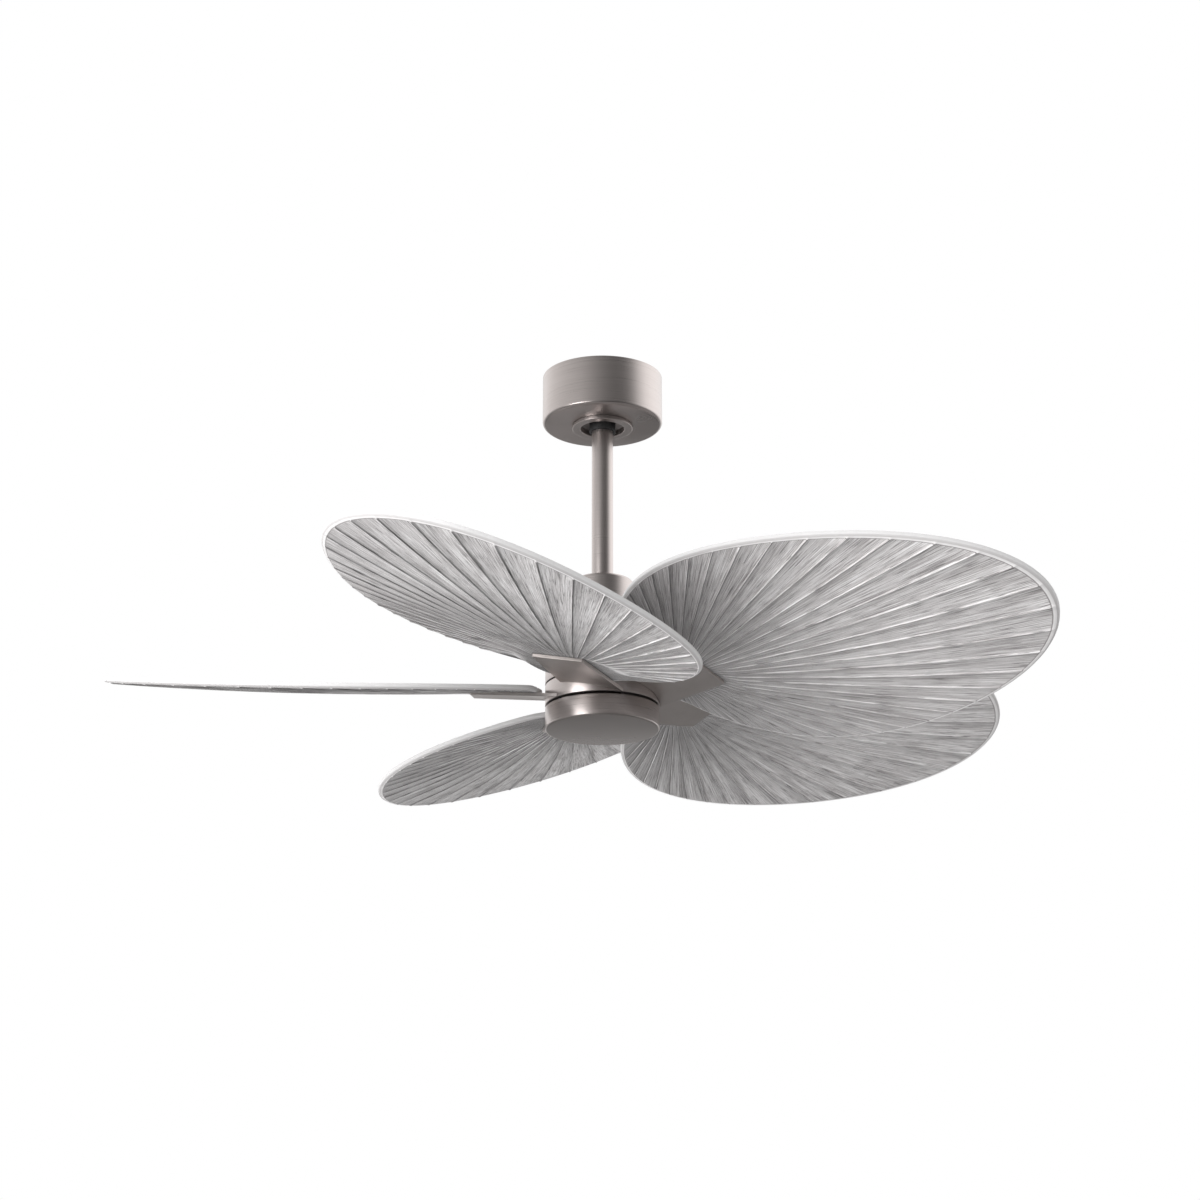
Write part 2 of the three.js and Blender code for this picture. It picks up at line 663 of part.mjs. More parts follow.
const armOutline = new THREE.Shape(
  [
    [ARM_ROOT, -ARM_ROOT_HIGH],
    [ARM_END - ARM_CHAMFER, -ARM_END_HALF],
    [ARM_END, -ARM_END_HALF + ARM_CHAMFER],
    [ARM_END, ARM_END_HALF - ARM_CHAMFER],
    [ARM_END - ARM_CHAMFER, ARM_END_HALF],
    [ARM_ROOT, ARM_ROOT_LOW],
  ].map(([x, y]) => new THREE.Vector2(x, y)),
);

const tongue = (grow) =>
  block(TONGUE_OUT - TONGUE_IN, 2 * (TONGUE_HALF + grow), ARM_THICK + 2 * grow, [
    (TONGUE_OUT + TONGUE_IN) / 2,
    0,
    ARM_THICK / 2,
  ]);

// The hub as the arms are cut to it: its flats clear the band's corners.
const hubWell = disc((HUB_R + FIT) / Math.cos(Math.PI / WELL_SIDES), 0, -CAP_END, WELL_SIDES);

function makeArm() {
  const hub = solid(hubWell.clone().applyMatrix4(armFrame.clone().invert()));
  let body = solid(extruded(armOutline, ARM_THICK, 0)).subtract(hub).add(solid(tongue(0)));
  const boltHole = disc(SCREW_SHANK_R + FIT, ARM_THICK + PAST, -PAST, TINY).translate(ARM_BOLT_AT, 0, 0);
  body = body.subtract(solid(boltHole));
  for (const side of [-1, 1]) {
    const hole = disc(SCREW_SHANK_R + FIT, ARM_THICK + PAST, ARM_SKIN, TINY);
    body = body.subtract(solid(hole.translate(BLADE_SCREW_AT, side * BLADE_SCREW_OUT, 0)));
  }
  return body;
}

// ---- Blades ----

const bowl = (x, y) => (x - BLADE_MID) ** 2 / BOWL_ALONG + y ** 2 / BOWL_ACROSS;

// Distance from the fan's point to the egg-shaped outline, drawn in by inset, at an angle to X.
function reach(angle, inset) {
  const a = BLADE_HALF_LENGTH - inset;
  const b = BLADE_HALF_WIDTH - inset;
  const at = (t) => [
    BLADE_MID + a * Math.cos(t) + EGG_SHIFT * Math.cos(2 * t) + EGG_BASE * Math.cos(3 * t) - FAN_AT,
    b * Math.sin(t) * (1 - EGG * Math.cos(t) + EGG_FLAT * Math.cos(2 * t)),
  ];
  let [low, high] = [0, Math.PI];
  for (let i = 0; i < 40; i++) {
    const mid = (low + high) / 2;
    const [x, y] = at(mid);
    if (Math.atan2(y, x) < Math.abs(angle)) low = mid;
    else high = mid;
  }
  return Math.hypot(...at(low));
}

// Angles round the fan's point: each pleat has a crease and a ridge, and plain steps close the back.
function bladeStations() {
  const step = rad(PLEAT_ANGLE);
  const start = (-PLEATS * step) / 2;
  const stations = [];
  for (let i = 0; i < PLEATS; i++) {
    stations.push({ angle: start + i * step, ridge: false });
    stations.push({ angle: start + (i + PLEAT_STEEP) * step, ridge: true });
  }
  const back = TURN - PLEATS * step;
  for (let i = 0; i < BACK_STEPS; i++)
    stations.push({ angle: -start + (back * i) / BACK_STEPS, ridge: false });
  return stations;
}

function makeBlade() {
  const stations = bladeStations();
  const rings = [];
  const mix = THREE.MathUtils.lerp;
  // A level is an offset from the arm's seat near the fan's point, and from the dished plane further out.
  const point = (angle, r, near, far) => {
    const x = FAN_AT + r * Math.cos(angle);
    const y = r * Math.sin(angle);
    const full = THREE.MathUtils.smoothstep(r, PAD_R, PLEAT_FULL_R);
    return [x, y, mix(seatPlane(x, y) + near, bowl(x, y) + far, full)];
  };
  const wrap = (a) => Math.atan2(Math.sin(a), Math.cos(a));
  const spans = stations.map(({ angle, ridge }) => {
    const outer = reach(wrap(angle), 0);
    const inner = Math.min(reach(wrap(angle), RIM_WIDTH), outer - RIM_LEAST);
    const pad = Math.min(PAD_R, PAD_SHARE * inner);
    return { angle, lift: ridge ? 0 : PLEAT_DEPTH, outer, inner, pad, middle: mix(pad, inner, MIDDLE_AT) };
  });
  const level = (radius, near, far) => spans.map((s) => point(s.angle, s[radius], near, far(s)));
  rings.push(level("pad", 0, (s) => s.lift));
  rings.push(level("middle", 0, (s) => s.lift));
  rings.push(level("inner", 0, (s) => s.lift));
  rings.push(level("outer", 0, () => RIM_LOW));
  rings.push(level("outer", PAD_THICK, () => RIM_LOW + RIM_HEIGHT));
  rings.push(level("inner", PAD_THICK, (s) => s.lift + SKIN));
  rings.push(level("pad", PAD_THICK, (s) => s.lift + SKIN));
  const count = stations.length;
  const vertices = rings.flat();
  const bottom = vertices.push(point(0, 0, 0, 0)) - 1;
  const top = vertices.push(point(0, 0, PAD_THICK, 0)) - 1;
  const faces = [];
  for (let i = 0; i < count; i++) {
    const j = (i + 1) % count;
    faces.push(bottom, j, i);
    for (let k = 0; k + 1 < rings.length; k++) {
      const [a, b, c, d] = [k * count + i, k * count + j, (k + 1) * count + j, (k + 1) * count + i];
      faces.push(a, b, c, a, c, d);
    }
    const last = (rings.length - 1) * count;
    faces.push(top, last + i, last + j);
  }
  const geometry = new THREE.BufferGeometry();
  geometry.setAttribute("position", new THREE.Float32BufferAttribute(vertices.flat(), 3));
  geometry.setIndex(faces);
  let body = solid(geometry);
  const toBlade = bladeFrame.clone().invert().multiply(armFrame);
  for (const side of [-1, 1]) {
    const hole = disc(SCREW_SHANK_R + FIT, ARM_THICK + 3 * PAD_THICK, 0, TINY);
    hole.translate(BLADE_SCREW_AT, side * BLADE_SCREW_OUT, 0);
    body = body.subtract(solid(hole.applyMatrix4(toBlade)));
  }
  return body;
}

// ---- Rotor ----

function azimuth(k) {
  return rad(FIRST_AZIMUTH + (360 * k) / BLADES);
}

// The plate carries the lower bearing, the band round the hub and a wedge for each arm.
function makeRotorPlate() {
  const tube = BEARING_R + FIT;
  const bearingTop = -LOWER_BEARING_TOP + HUB_TUBE_LIP;
  const bearingLow = -LOWER_BEARING_TOP - BEARING_WIDTH - HUB_TUBE_LIP;
  const top = -ROTOR_TOP;
  const under = top - ROTOR_PLATE;
  let body = solid(
    turned(
      [
        [tube, bearingTop],
        [tube + HUB_TUBE_WALL, bearingTop],
        [tube + HUB_TUBE_WALL, top],
        [HUB_R, top],
        [HUB_R, -BAND_END],
        [HUB_R - BAND_WALL, -BAND_END],
        [HUB_R - BAND_WALL, under],
        [tube + HUB_TUBE_WALL, under],
        [tube + HUB_TUBE_WALL, bearingLow],
        [tube, bearingLow],
      ],
      LARGE,
    ),
  );
  const wedgeLength = 2 * (ARM_BOLT_AT - TONGUE_IN);
  const wedgeMid = top - WEDGE_SINK - WEDGE_TALL / 2;
  const wedge = block(wedgeLength, 2 * TONGUE_HALF, WEDGE_TALL, [ARM_BOLT_AT, 0, wedgeMid]);
  const seatAt = [HUB_R, 0, ARM_THICK + FIT - WEDGE_TALL];
  const belowArm = block(2 * HUB_R, 4 * TONGUE_HALF, 2 * WEDGE_TALL, seatAt);
  const bolt = disc(SCREW_SHANK_R + FIT, ARM_BOLT_LENGTH + PAST, 0, TINY).translate(ARM_BOLT_AT, 0, 0);
  const fitted = solid(wedge).subtract(solid(belowArm.applyMatrix4(armFrame)));
  const drilled = fitted.subtract(solid(bolt.applyMatrix4(armFrame)));
  const slot = solid(tongue(FIT).applyMatrix4(armFrame));
  for (let k = 0; k < BLADES; k++) {
    const turn = [0, 0, THREE.MathUtils.radToDeg(azimuth(k))];
    body = body.add(drilled.rotate(turn)).subtract(slot.rotate(turn));
  }
  return body;
}

function makeRotorBell() {
  const tube = BEARING_R + FIT;
  const outer = STATOR_R + RUN + MAGNET_WALL + FIT + BELL_WALL;
  const low = -ROTOR_TOP + FIT;
  const under = -UPPER_BEARING_TOP - BEARING_WIDTH - BELL_WALL;
  return turned(
    [
      [tube, -UPPER_BEARING_TOP + HUB_TUBE_LIP],
      [tube + HUB_TUBE_WALL, -UPPER_BEARING_TOP + HUB_TUBE_LIP],
      [tube + HUB_TUBE_WALL, under + BELL_WALL],
      [outer - BELL_WALL, under + BELL_WALL],
      [outer, under],
      [outer, low],
      [outer - BELL_WALL, low],
      [outer - BELL_WALL, under],
      [tube, under],
    ],
    LARGE,
  );
}

function makeRotorParts() {
  add("rotor_bell", makeRotorBell(), castAluminium);
  const magnetIn = STATOR_R + RUN;
  const magnetTop = -STATOR_TOP + MAGNET_PAST;
  const magnetLow = -STATOR_TOP - STATOR_STACK - MAGNET_PAST;
  const magnets = ring(magnetIn, magnetIn + MAGNET_WALL, magnetTop, magnetLow, LARGE);
  add("magnet_ring", magnets, ferrite);
  add("rotor_plate", makeRotorPlate(), brushedNickel);
  const armGeometry = geometryOf(makeArm());
  const bladeGeometry = geometryOf(makeBlade());
  const boltGeometry = screw(ARM_BOLT_LENGTH).rotateX(Math.PI);
  const screwGeometry = screw(PAD_THICK + ARM_THICK - ARM_SKIN + FIT);
  for (let k = 0; k < BLADES; k++) {
    const around = new THREE.Group();
    around.rotation.z = azimuth(k);
    const armGroup = new THREE.Group();
    armGroup.applyMatrix4(armFrame);
    const bladeGroup = new THREE.Group();
    bladeGroup.applyMatrix4(bladeFrame);
    around.add(armGroup, bladeGroup);
    model.add(around);
    add(`blade_arm_${k + 1}`, armGeometry, brushedNickel, armGroup);
    add(`blade_${k + 1}`, bladeGeometry, greyedWood, bladeGroup);
    add(`arm_bolt_${k + 1}`, boltGeometry, zincSteel, armGroup).position.set(ARM_BOLT_AT, 0, -FIT);
    [-1, 1].forEach((side, i) => {
      const held = add(`blade_screw_${k + 1}_${i + 1}`, screwGeometry, zincSteel, armGroup);
      held.position.set(BLADE_SCREW_AT, side * BLADE_SCREW_OUT, ARM_THICK + 2 * FIT + PAD_THICK);
    });
  }
}

makeCeilingParts();
makeDropParts();
makeStillMotorParts();
makeBottomParts();
makeRotorParts();

export default model;
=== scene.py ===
import json
import math
from functools import partial

import bpy
from mathutils import Matrix, Vector


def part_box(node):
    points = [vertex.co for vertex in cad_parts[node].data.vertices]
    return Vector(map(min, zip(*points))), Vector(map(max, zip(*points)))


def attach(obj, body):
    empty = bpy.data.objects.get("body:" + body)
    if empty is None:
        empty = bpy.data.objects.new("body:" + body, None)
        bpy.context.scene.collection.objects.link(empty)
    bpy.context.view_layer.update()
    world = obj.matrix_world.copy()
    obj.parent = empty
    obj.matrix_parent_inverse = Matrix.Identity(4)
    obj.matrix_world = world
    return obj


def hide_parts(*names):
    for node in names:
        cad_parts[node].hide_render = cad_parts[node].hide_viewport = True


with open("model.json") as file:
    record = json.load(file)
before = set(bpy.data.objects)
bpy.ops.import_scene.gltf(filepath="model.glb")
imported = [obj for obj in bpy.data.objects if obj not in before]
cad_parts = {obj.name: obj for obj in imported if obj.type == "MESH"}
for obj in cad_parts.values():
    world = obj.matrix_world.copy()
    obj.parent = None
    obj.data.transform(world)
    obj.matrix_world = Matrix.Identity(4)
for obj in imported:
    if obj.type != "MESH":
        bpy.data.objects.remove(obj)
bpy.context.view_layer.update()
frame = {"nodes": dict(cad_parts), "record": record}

MM = 0.001
ROUND_SIDES = 160  # sides of the turned pieces
ON_AXIS = 1e-9  # a profile's point closer than this lies on the axis
WELD = 1e-6

# ---- Sizes read from the frame ----
canopy_low, canopy_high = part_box("canopy")
ring_low, ring_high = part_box("canopy_trim_ring")
rod_low, rod_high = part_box("downrod")
ball_low, ball_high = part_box("hanger_ball")
cover_low, cover_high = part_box("coupling_cover")
housing_low, housing_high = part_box("motor_housing")
band_low, band_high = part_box("rotor_plate")
cap_low, cap_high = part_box("bottom_cap")

# ---- Canopy, rod and hub, in metres ----
SHEET = 1.2 * MM
CANOPY_FILLET = 5 * MM
CANOPY_HOLE_R = 29.5 * MM
TRIM_HOLE_R = 27.5 * MM
TRIM_CORNER = 1.2 * MM
TRIM_STEP = 0.3 * MM  # from the canopy's foot down to the trim ring's top
ROD_BORE_R = 10.6 * MM
ROD_GAP = 0.3 * MM  # round the rod, in the ball's bore and the cover's hole
BALL_R = 25 * MM
BALL_CENTRE = -34 * MM
NECK_R = 16.5 * MM  # the ball's neck round the rod, down into the trim ring; slim enough to swing in it
NECK_TOP = 57.5 * MM  # clear of the cradle when the ball swings
NECK_END = 73.5 * MM
NECK_FILLET = 1.5 * MM
COVER_FILLET = 4 * MM
HOUSING_FILLET = 9 * MM
HOUSING_HOLE_R = 11.5 * MM
CAP_FILLET = 2.5 * MM
CAP_STEP = 0.4 * MM  # the cap's edge stands this far back from the running gap
HUB_WALL = 1.5 * MM
BAND_TOP = -408 * MM  # heights of the rotor band's edges
BAND_LOW = -432.6 * MM
BAND_WALL = 2.8 * MM
BAND_PLATE = 3.5 * MM  # thickness of its top
HUB_TUBE_R = 19.3 * MM  # bore of its tube round the shaft
HUB_TUBE_WALL = 3.7 * MM
EDGE = 0.5 * MM  # rounding of a pressed sheet's edge

# ---- Arms and blades ----
BLADES = 5
FIRST_AZIMUTH = math.radians(250.5)
ARM_PITCH = math.radians(12.2)
ARM_RISE = math.radians(2.4)
ARM_DROP = 425.3 * MM
ARM_THICK = 4.2 * MM
ARM_END = 160 * MM
ARM_END_HALF = 32.8 * MM
ARM_ROOT = 42 * MM
ARM_ROOT_HIGH = 33 * MM
ARM_ROOT_LOW = 49 * MM
ARM_CORNER = 1.8 * MM
ARM_BEVEL = 0.6 * MM
ARM_CUT = 20 * MM  # from ARM_ROOT out to where the hub cuts the arm
ARM_CUT_STEPS = 32
HUB_CLEAR = 0.3 * MM
SCREW_AT = 147 * MM
SCREW_OUT = 17 * MM
BOLT_AT = 52 * MM
BOLT_LENGTH = 9.2 * MM
SEAT_GAP = 0.3 * MM  # between seated pieces
ARM_SKIN = 0.8 * MM  # left of the arm under a blade screw's tip
BLADE_PITCH = math.radians(15.9)
BLADE_RISE = math.radians(1.57)
BLADE_DROP = 423.5 * MM
LEAF_STEP = 100.0  # each blade's leaf coordinate starts this many pleats after the last
BLADE_SIZES = {
    "Half Length": 260.5 * MM,
    "Half Width": 225 * MM,
    "Middle": 338.6 * MM,
    "Egg": 0.126,
    "Flat": 0.067,
    "Shift": 4.1 * MM,
    "Base": 8.2 * MM,
    "Fan Point": 112 * MM,
    "Pleats": 34,
    "Pleat Angle": math.radians(5.2),
    "Pleat Depth": 1.9 * MM,
    "Bowl Along": 9.9,
    "Bowl Across": 11.1,
    "Pad Radius": 50 * MM,
    "Pleated From": 78 * MM,
    "Pad Thickness": 6 * MM,
    "Skin": 3 * MM,
    "Rim Width": 3 * MM,
    "Rim Low": 4.2 * MM,
    "Rim Height": 4.6 * MM,
}

# ---- Screws ----
SCREW_SIZES = {
    "Shank Radius": 2.0 * MM,
    "Head Radius": 3.2 * MM,
    "Head Height": 2.2 * MM,
    "Shank Length": 9 * MM,
    "Thread Pitch": 0.7 * MM,
    "Thread Depth": 0.3 * MM,
    "Recess Width": 0.42 * MM,
    "Recess Depth": 1.2 * MM,
}

# ---- Camera, as solved from the photograph ----
CAMERA_BACK = 3.285
CAMERA_DROP = 1.382
CAMERA_TILT = math.radians(18.3)
CAMERA_LENS = 83.955
CAMERA_SHIFT = -2.4 / 1200  # the view's middle lies 2.4 of its 1200 pixels left of the lens axis

# ---- Kinds of node that come often ----
MATH = "ShaderNodeMath"
MIX = "ShaderNodeMix"
MAP_RANGE = "ShaderNodeMapRange"
CURVE = "ShaderNodeFloatCurve"
RAMP = "ShaderNodeValToRGB"
NOISE = "ShaderNodeTexNoise"
XYZ = "ShaderNodeCombineXYZ"
STORE = "GeometryNodeStoreNamedAttribute"
STORED = "GeometryNodeInputNamedAttribute"


# ======== Small tools ========


def linear(hex_colour):
    """An sRGB hex colour as the linear RGBA that a shader's socket takes."""
    parts = [int(hex_colour[i : i + 2], 16) / 255 for i in (1, 3, 5)]
    return [c / 12.92 if c <= 0.04045 else ((c + 0.055) / 1.055) ** 2.4 for c in parts] + [1.0]


def feed(node, inputs):
    """Gives a node its inputs, as a list from the first on or as a dict by their names or numbers.

    Each is a value, the socket that feeds the input, or the node that feeds it from its first output.
    """
    for key, value in inputs.items() if isinstance(inputs, dict) else enumerate(inputs):
        if isinstance(value, bpy.types.Node):
            value = value.outputs[0]
        if isinstance(value, bpy.types.NodeSocket):
            node.id_data.links.new(value, node.inputs[key])
        else:
            node.inputs[key].default_value = value


def add_node(tree, kind, inputs=(), **settings):
    """Adds a node with its settings and its inputs. The trees below call it as add, bound to their own tree."""
    made = tree.nodes.new(kind)
    for name, value in settings.items():
        setattr(made, name, value)
    feed(made, inputs)
    return made


def draw_curve(curve_node, points):
    """Draws a Float Curve through the points, with straight runs between them."""
    curve = curve_node.mapping.curves[0]
    while len(curve.points) > 2:
        curve.points.remove(curve.points[1])
    for point, place in zip(curve.points, (points[0], points[-1])):
        point.location = place
    for place in points[1:-1]:
        curve.points.new(*place)
    for point in curve.points:
        point.handle_type = "VECTOR"
    curve_node.mapping.update()


def set_stops(ramp_node, stops):
    """Gives a Color Ramp its stops, as (place, hex colour) pairs."""
    ramp = ramp_node.color_ramp
    while len(ramp.elements) > 1:
        ramp.elements.remove(ramp.elements[-1])
    ramp.elements[0].position, ramp.elements[0].color = stops[0][0], linear(stops[0][1])
    for place, colour in stops[1:]:
        ramp.elements.new(place).color = linear(colour)


def start_material(name):
    """An empty node material with a Principled shader wired to its output. Also gives back its add."""
    made = bpy.data.materials.new(name)
    made.use_nodes = True
    made.node_tree.nodes.clear()
    add = partial(add_node, made.node_tree)
    shader = add("ShaderNodeBsdfPrincipled")
    add("ShaderNodeOutputMaterial", {"Surface": shader})
    return made, add, shader


def new_piece(name, vertices, faces, body, material, smooth_angle=30):
    """A mesh piece that rides on a body. Its place is in its mesh."""
    mesh = bpy.data.meshes.new(name)
    mesh.from_pydata(vertices, [], faces)
    mesh.validate()
    return dress(name, mesh, body, material, smooth_angle)


def dress(name, mesh, body, material, smooth_angle):
    """Makes a piece of a mesh: smooth where its faces meet under the angle, in degrees, and riding on a body."""
    piece = bpy.data.objects.new(name, mesh)
    bpy.context.scene.collection.objects.link(piece)
    mesh.materials.append(material)
    mesh.shade_smooth()
    mesh.set_sharp_from_angle(angle=math.radians(smooth_angle))
    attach(piece, body)
    return piece


# ======== Materials ========


def brushed_nickel_turned():
    """Satin nickel plate on spun steel: warm grey, with hairlines brushed round the axis."""
    made, add, shader = start_material("satin nickel, brushed round")
    place = add("ShaderNodeTexCoord").outputs["Object"]
    # Hairlines are 0.05 mm wide on the real plate and are drawn 0.6 mm wide to show.
    stretch = add("ShaderNodeMapping", {0: place, 3: (9, 9, 1600)})
    hair = add(NOISE, {"Vector": stretch, "Scale": 1.0, "Detail": 3.0})
    colour = add(RAMP, [hair])
    set_stops(colour, [(0.3, "#bab2af"), (0.7, "#c5bdba")])
    rough = add(MAP_RANGE, [hair, 0.3, 0.7, 0.27, 0.34])
    bump = add("ShaderNodeBump", {"Strength": 0.03, "Distance": 0.0001, "Height": hair})
    feed(shader, {"Metallic": 1.0, "Base Color": colour, "Roughness": rough, "Normal": bump})
    return made


def brushed_nickel_flat():
    """Satin nickel plate on stamped flat steel: even, with a faint cloudiness from the plating bath."""
    made, add, shader = start_material("satin nickel, stamped")
    place = add("ShaderNodeTexCoord").outputs["Object"]
    cloud = add(NOISE, {"Vector": place, "Scale": 30.0, "Detail": 4.0})
    colour = add(RAMP, [cloud])
    set_stops(colour, [(0.35, "#dad2ce"), (0.65, "#e2dad7")])
    rough = add(MAP_RANGE, [cloud, 0.3, 0.7, 0.36, 0.44])
    feed(shader, {"Metallic": 1.0, "Base Color": colour, "Roughness": rough})
    return made


def palm_blade():
    """Moulded ABS with a greyed, whitewashed palm-leaf finish: matt, with fibres that run out from the stem."""
    made, add, shader = start_material("greyed palm-leaf ABS")
    # The first leaf coordinate counts pleats round the stem, and the second is metres out from it.
    leaf = add("ShaderNodeUVMap", uv_map="leaf")
    parts = add("ShaderNodeSeparateXYZ", [leaf])

    def fibres(across, out, detail, roughness):
        place = add("ShaderNodeMapping", {0: leaf, 3: (across, out, 1)})
        return add(NOISE, {"Vector": place, "Scale": 1.0, "Detail": detail, "Roughness": roughness})

    # At mid-blade a pleat is 21 mm wide: fibres 0.8 by 90 mm, pores 0.6 by 33 mm and clouds 9 by 170 mm.
    fine = fibres(26, 11, 5.0, 0.72)
    pores = fibres(34, 30, 2.0, 0.5)
    cloud = fibres(2.2, 6, 3.0, 0.6)
    mixed = add(MIX, {0: 0.22, 2: fine, 3: cloud}, data_type="FLOAT")
    wash = add(RAMP, [mixed])
    set_stops(wash, [(0.36, "#7e7a7a"), (0.455, "#bab6b6"), (0.52, "#dad7d7"), (0.62, "#f8f7f7")])
    pore = add(MAP_RANGE, [pores, 0.36, 0.42, 0.5, 1.0])

    # Painted light and shade: one side of each rib is painted white as if lit and the other dark as if shaded, and
    # the panel is painted darkest beside the rib, as painted shade, and lightens away from it.
    phase = add(MATH, [parts.outputs[0]], operation="FRACT")
    narrowed = add(MAP_RANGE, [parts.outputs[1], 0.0, 0.28, 0.0, 1.0])
    phase = add(MATH, [phase, narrowed], operation="MULTIPLY")
    # Painted highlight on one side of each rib, and painted shade on its other side and on the panel beside it.
    painted_rib_light = add(CURVE, {"Value": phase})
    painted_rib_light_points = [(0, 0.92), (0.03, 0.92), (0.036, 0.7), (0.045, 0.38), (0.075, 0.38)]
    draw_curve(painted_rib_light, painted_rib_light_points + [(0.1, 0.58), (0.35, 0.72), (0.7, 0.8), (1, 0.82)])
    # Towards the stem the folds crowd together, and the leaf is painted darker there as painted shade near the hub.
    stem = add(MAP_RANGE, [parts.outputs[1], 0.03, 0.34, 0.74, 1.04], interpolation_type="SMOOTHSTEP")
    shade = add(MATH, [pore, painted_rib_light], operation="MULTIPLY")
    shade = add(MATH, [shade, stem], operation="MULTIPLY")
    # Painted light and shade: the leaf is painted lighter towards its raised side and darker towards its lowered
    # side, for how the dished leaf's two sides are lit.
    side = add(MATH, [parts.outputs[0], 1 / LEAF_STEP, 0.5], operation="MULTIPLY_ADD")
    side = add(MATH, [side], operation="FRACT")
    # Painted light towards the raised side and painted shade towards the lowered side.
    painted_side_light = add(MAP_RANGE, [side, 0.4, 0.6, 1.1, 0.84])
    shade = add(MATH, [shade, painted_side_light], operation="MULTIPLY")
    rim = add("ShaderNodeAttribute", attribute_name="rim").outputs["Fac"]
    face = add("ShaderNodeVectorMath", {0: wash, "Scale": shade}, operation="SCALE")
    # The face ends in a dark line and a pale border, and the rim's inner slope is greyer.
    on_slope = add(MAP_RANGE, [rim, 0.04, 0.08, 0.0, 1.0])
    slope = add(RAMP, [rim])
    border_wash = [(0.1, "#868282"), (0.14, "#dcdada"), (0.28, "#d2d0d0")]
    set_stops(slope, border_wash + [(0.36, "#b0adad"), (0.8, "#bbb9b9"), (0.95, "#cbcaca")])
    face = add(MIX, {0: on_slope, 6: face, 7: slope}, data_type="RGBA").outputs[2]

    # The rim's outer wall is painted plain pale grey.
    wall = add("ShaderNodeAttribute", attribute_name="wall").outputs["Fac"]
    colour = add(MIX, {0: wall, 6: face, 7: linear("#cdcccc")}, data_type="RGBA").outputs[2]
    rough = add(MAP_RANGE, [fine, 0.3, 0.7, 0.62, 0.8])
    relief = add(MATH, [fine, pore], operation="MULTIPLY")
    bump = add("ShaderNodeBump", {"Strength": 0.5, "Distance": 0.0008, "Height": relief})
    feed(shader, {"Base Color": colour, "Roughness": rough, "Normal": bump})
    return made


def grained(name, dark, light, rough, metallic, scale, bump_depth=0.0001):
    """A plain finish whose colour, roughness and relief vary with one even grain."""
    made, add, shader = start_material(name)
    place = add("ShaderNodeTexCoord").outputs["Object"]
    grain = add(NOISE, {"Vector": place, "Scale": scale, "Detail": 4.0})
    colour = add(RAMP, [grain])
    set_stops(colour, [(0.35, dark), (0.65, light)])
    gloss = add(MAP_RANGE, [grain, 0.3, 0.7, rough - 0.06, rough + 0.06])
    bump = add("ShaderNodeBump", {"Strength": 0.3, "Distance": bump_depth, "Height": grain})
    feed(shader, {"Metallic": metallic, "Base Color": colour, "Roughness": gloss, "Normal": bump})
    return made


def layered(name, dark, light, rough, band):
    """Metal in dark and light bands across Z, each as thick as band, for laminations and windings."""
    made, add, shader = start_material(name)
    place = add("ShaderNodeTexCoord").outputs["Object"]
    # One wave, which is two bands, takes pi / 10 of a metre at scale 1.
    wave = {"Vector": place, "Scale": 1 / (20 * band) * math.pi, "Distortion": 0.4, "Detail": 1.0}
    turns = add("ShaderNodeTexWave", wave, bands_direction="Z").outputs["Fac"]
    colour = add(RAMP, [turns])
    set_stops(colour, [(0.2, dark), (0.7, light)])
    bump = add("ShaderNodeBump", {"Strength": 0.4, "Distance": band / 3, "Height": turns})
    feed(shader, {"Metallic": 1.0, "Roughness": rough, "Base Color": colour, "Normal": bump})
    return made


nickel_turned = brushed_nickel_turned()
nickel_flat = brushed_nickel_flat()
palm = palm_blade()
# A grained finish's third number is its grain in cells to the metre: 900 is about 1.1 mm, and 120 about 8 mm.
finishes = {
    "brushed_nickel": nickel_turned,
    "palm_blade": palm,
    # Moulded black ABS: spark-eroded, so it is matt and softly pebbled.
    "black_plastic": grained("matt black ABS", "#151515", "#242425", 0.55, 0.0, 900),
    # Zinc-plated steel: cool grey with a faint spangle.
    "zinc_steel": grained("zinc-plated steel", "#7f8285", "#a0a3a5", 0.38, 1.0, 260),
    # Ground bearing steel: bright and nearly even.
    "bearing_steel": grained("ground bearing steel", "#adb0b4", "#c3c6c9", 0.2, 1.0, 600),
    # Die-cast aluminium, as cast: grey and slightly rough.
    "cast_aluminium": grained("die-cast aluminium", "#8f9192", "#b1b3b4", 0.52, 1.0, 500, 0.0003),
    # Varnished steel laminations, 0.5 mm thick and drawn at 1 mm to show.
    "laminated_steel": layered("steel laminations", "#3c3d3f", "#77797c", 0.45, 1 * MM),
    # Enamelled copper wire: amber coat over copper, wound in even turns, 0.6 mm thick and drawn at 1.2 mm.
    "copper": layered("enamelled copper wire", "#7a3a17", "#bb6c35", 0.3, 1.2 * MM),
    # Sintered ferrite: charcoal, dry and dense.
    "ferrite": grained("sintered ferrite", "#2b2b2d", "#3b3b3e", 0.7, 0.0, 700),
    # Solder mask over glass-epoxy board: green with a satin sheen.
    "circuit_board": grained("solder-masked board", "#14432b", "#1e5a3b", 0.4, 0.0, 120),
}


# ======== Turned pieces ========


def fillet(r, z, size, start, end, steps=10):
    """Points of a profile's round corner about (r, z); angles in degrees."""
    angles = [math.radians(start + (end - start) * i / steps) for i in range(steps + 1)]
    return [(r + size * math.cos(a), z + size * math.sin(a)) for a in angles]


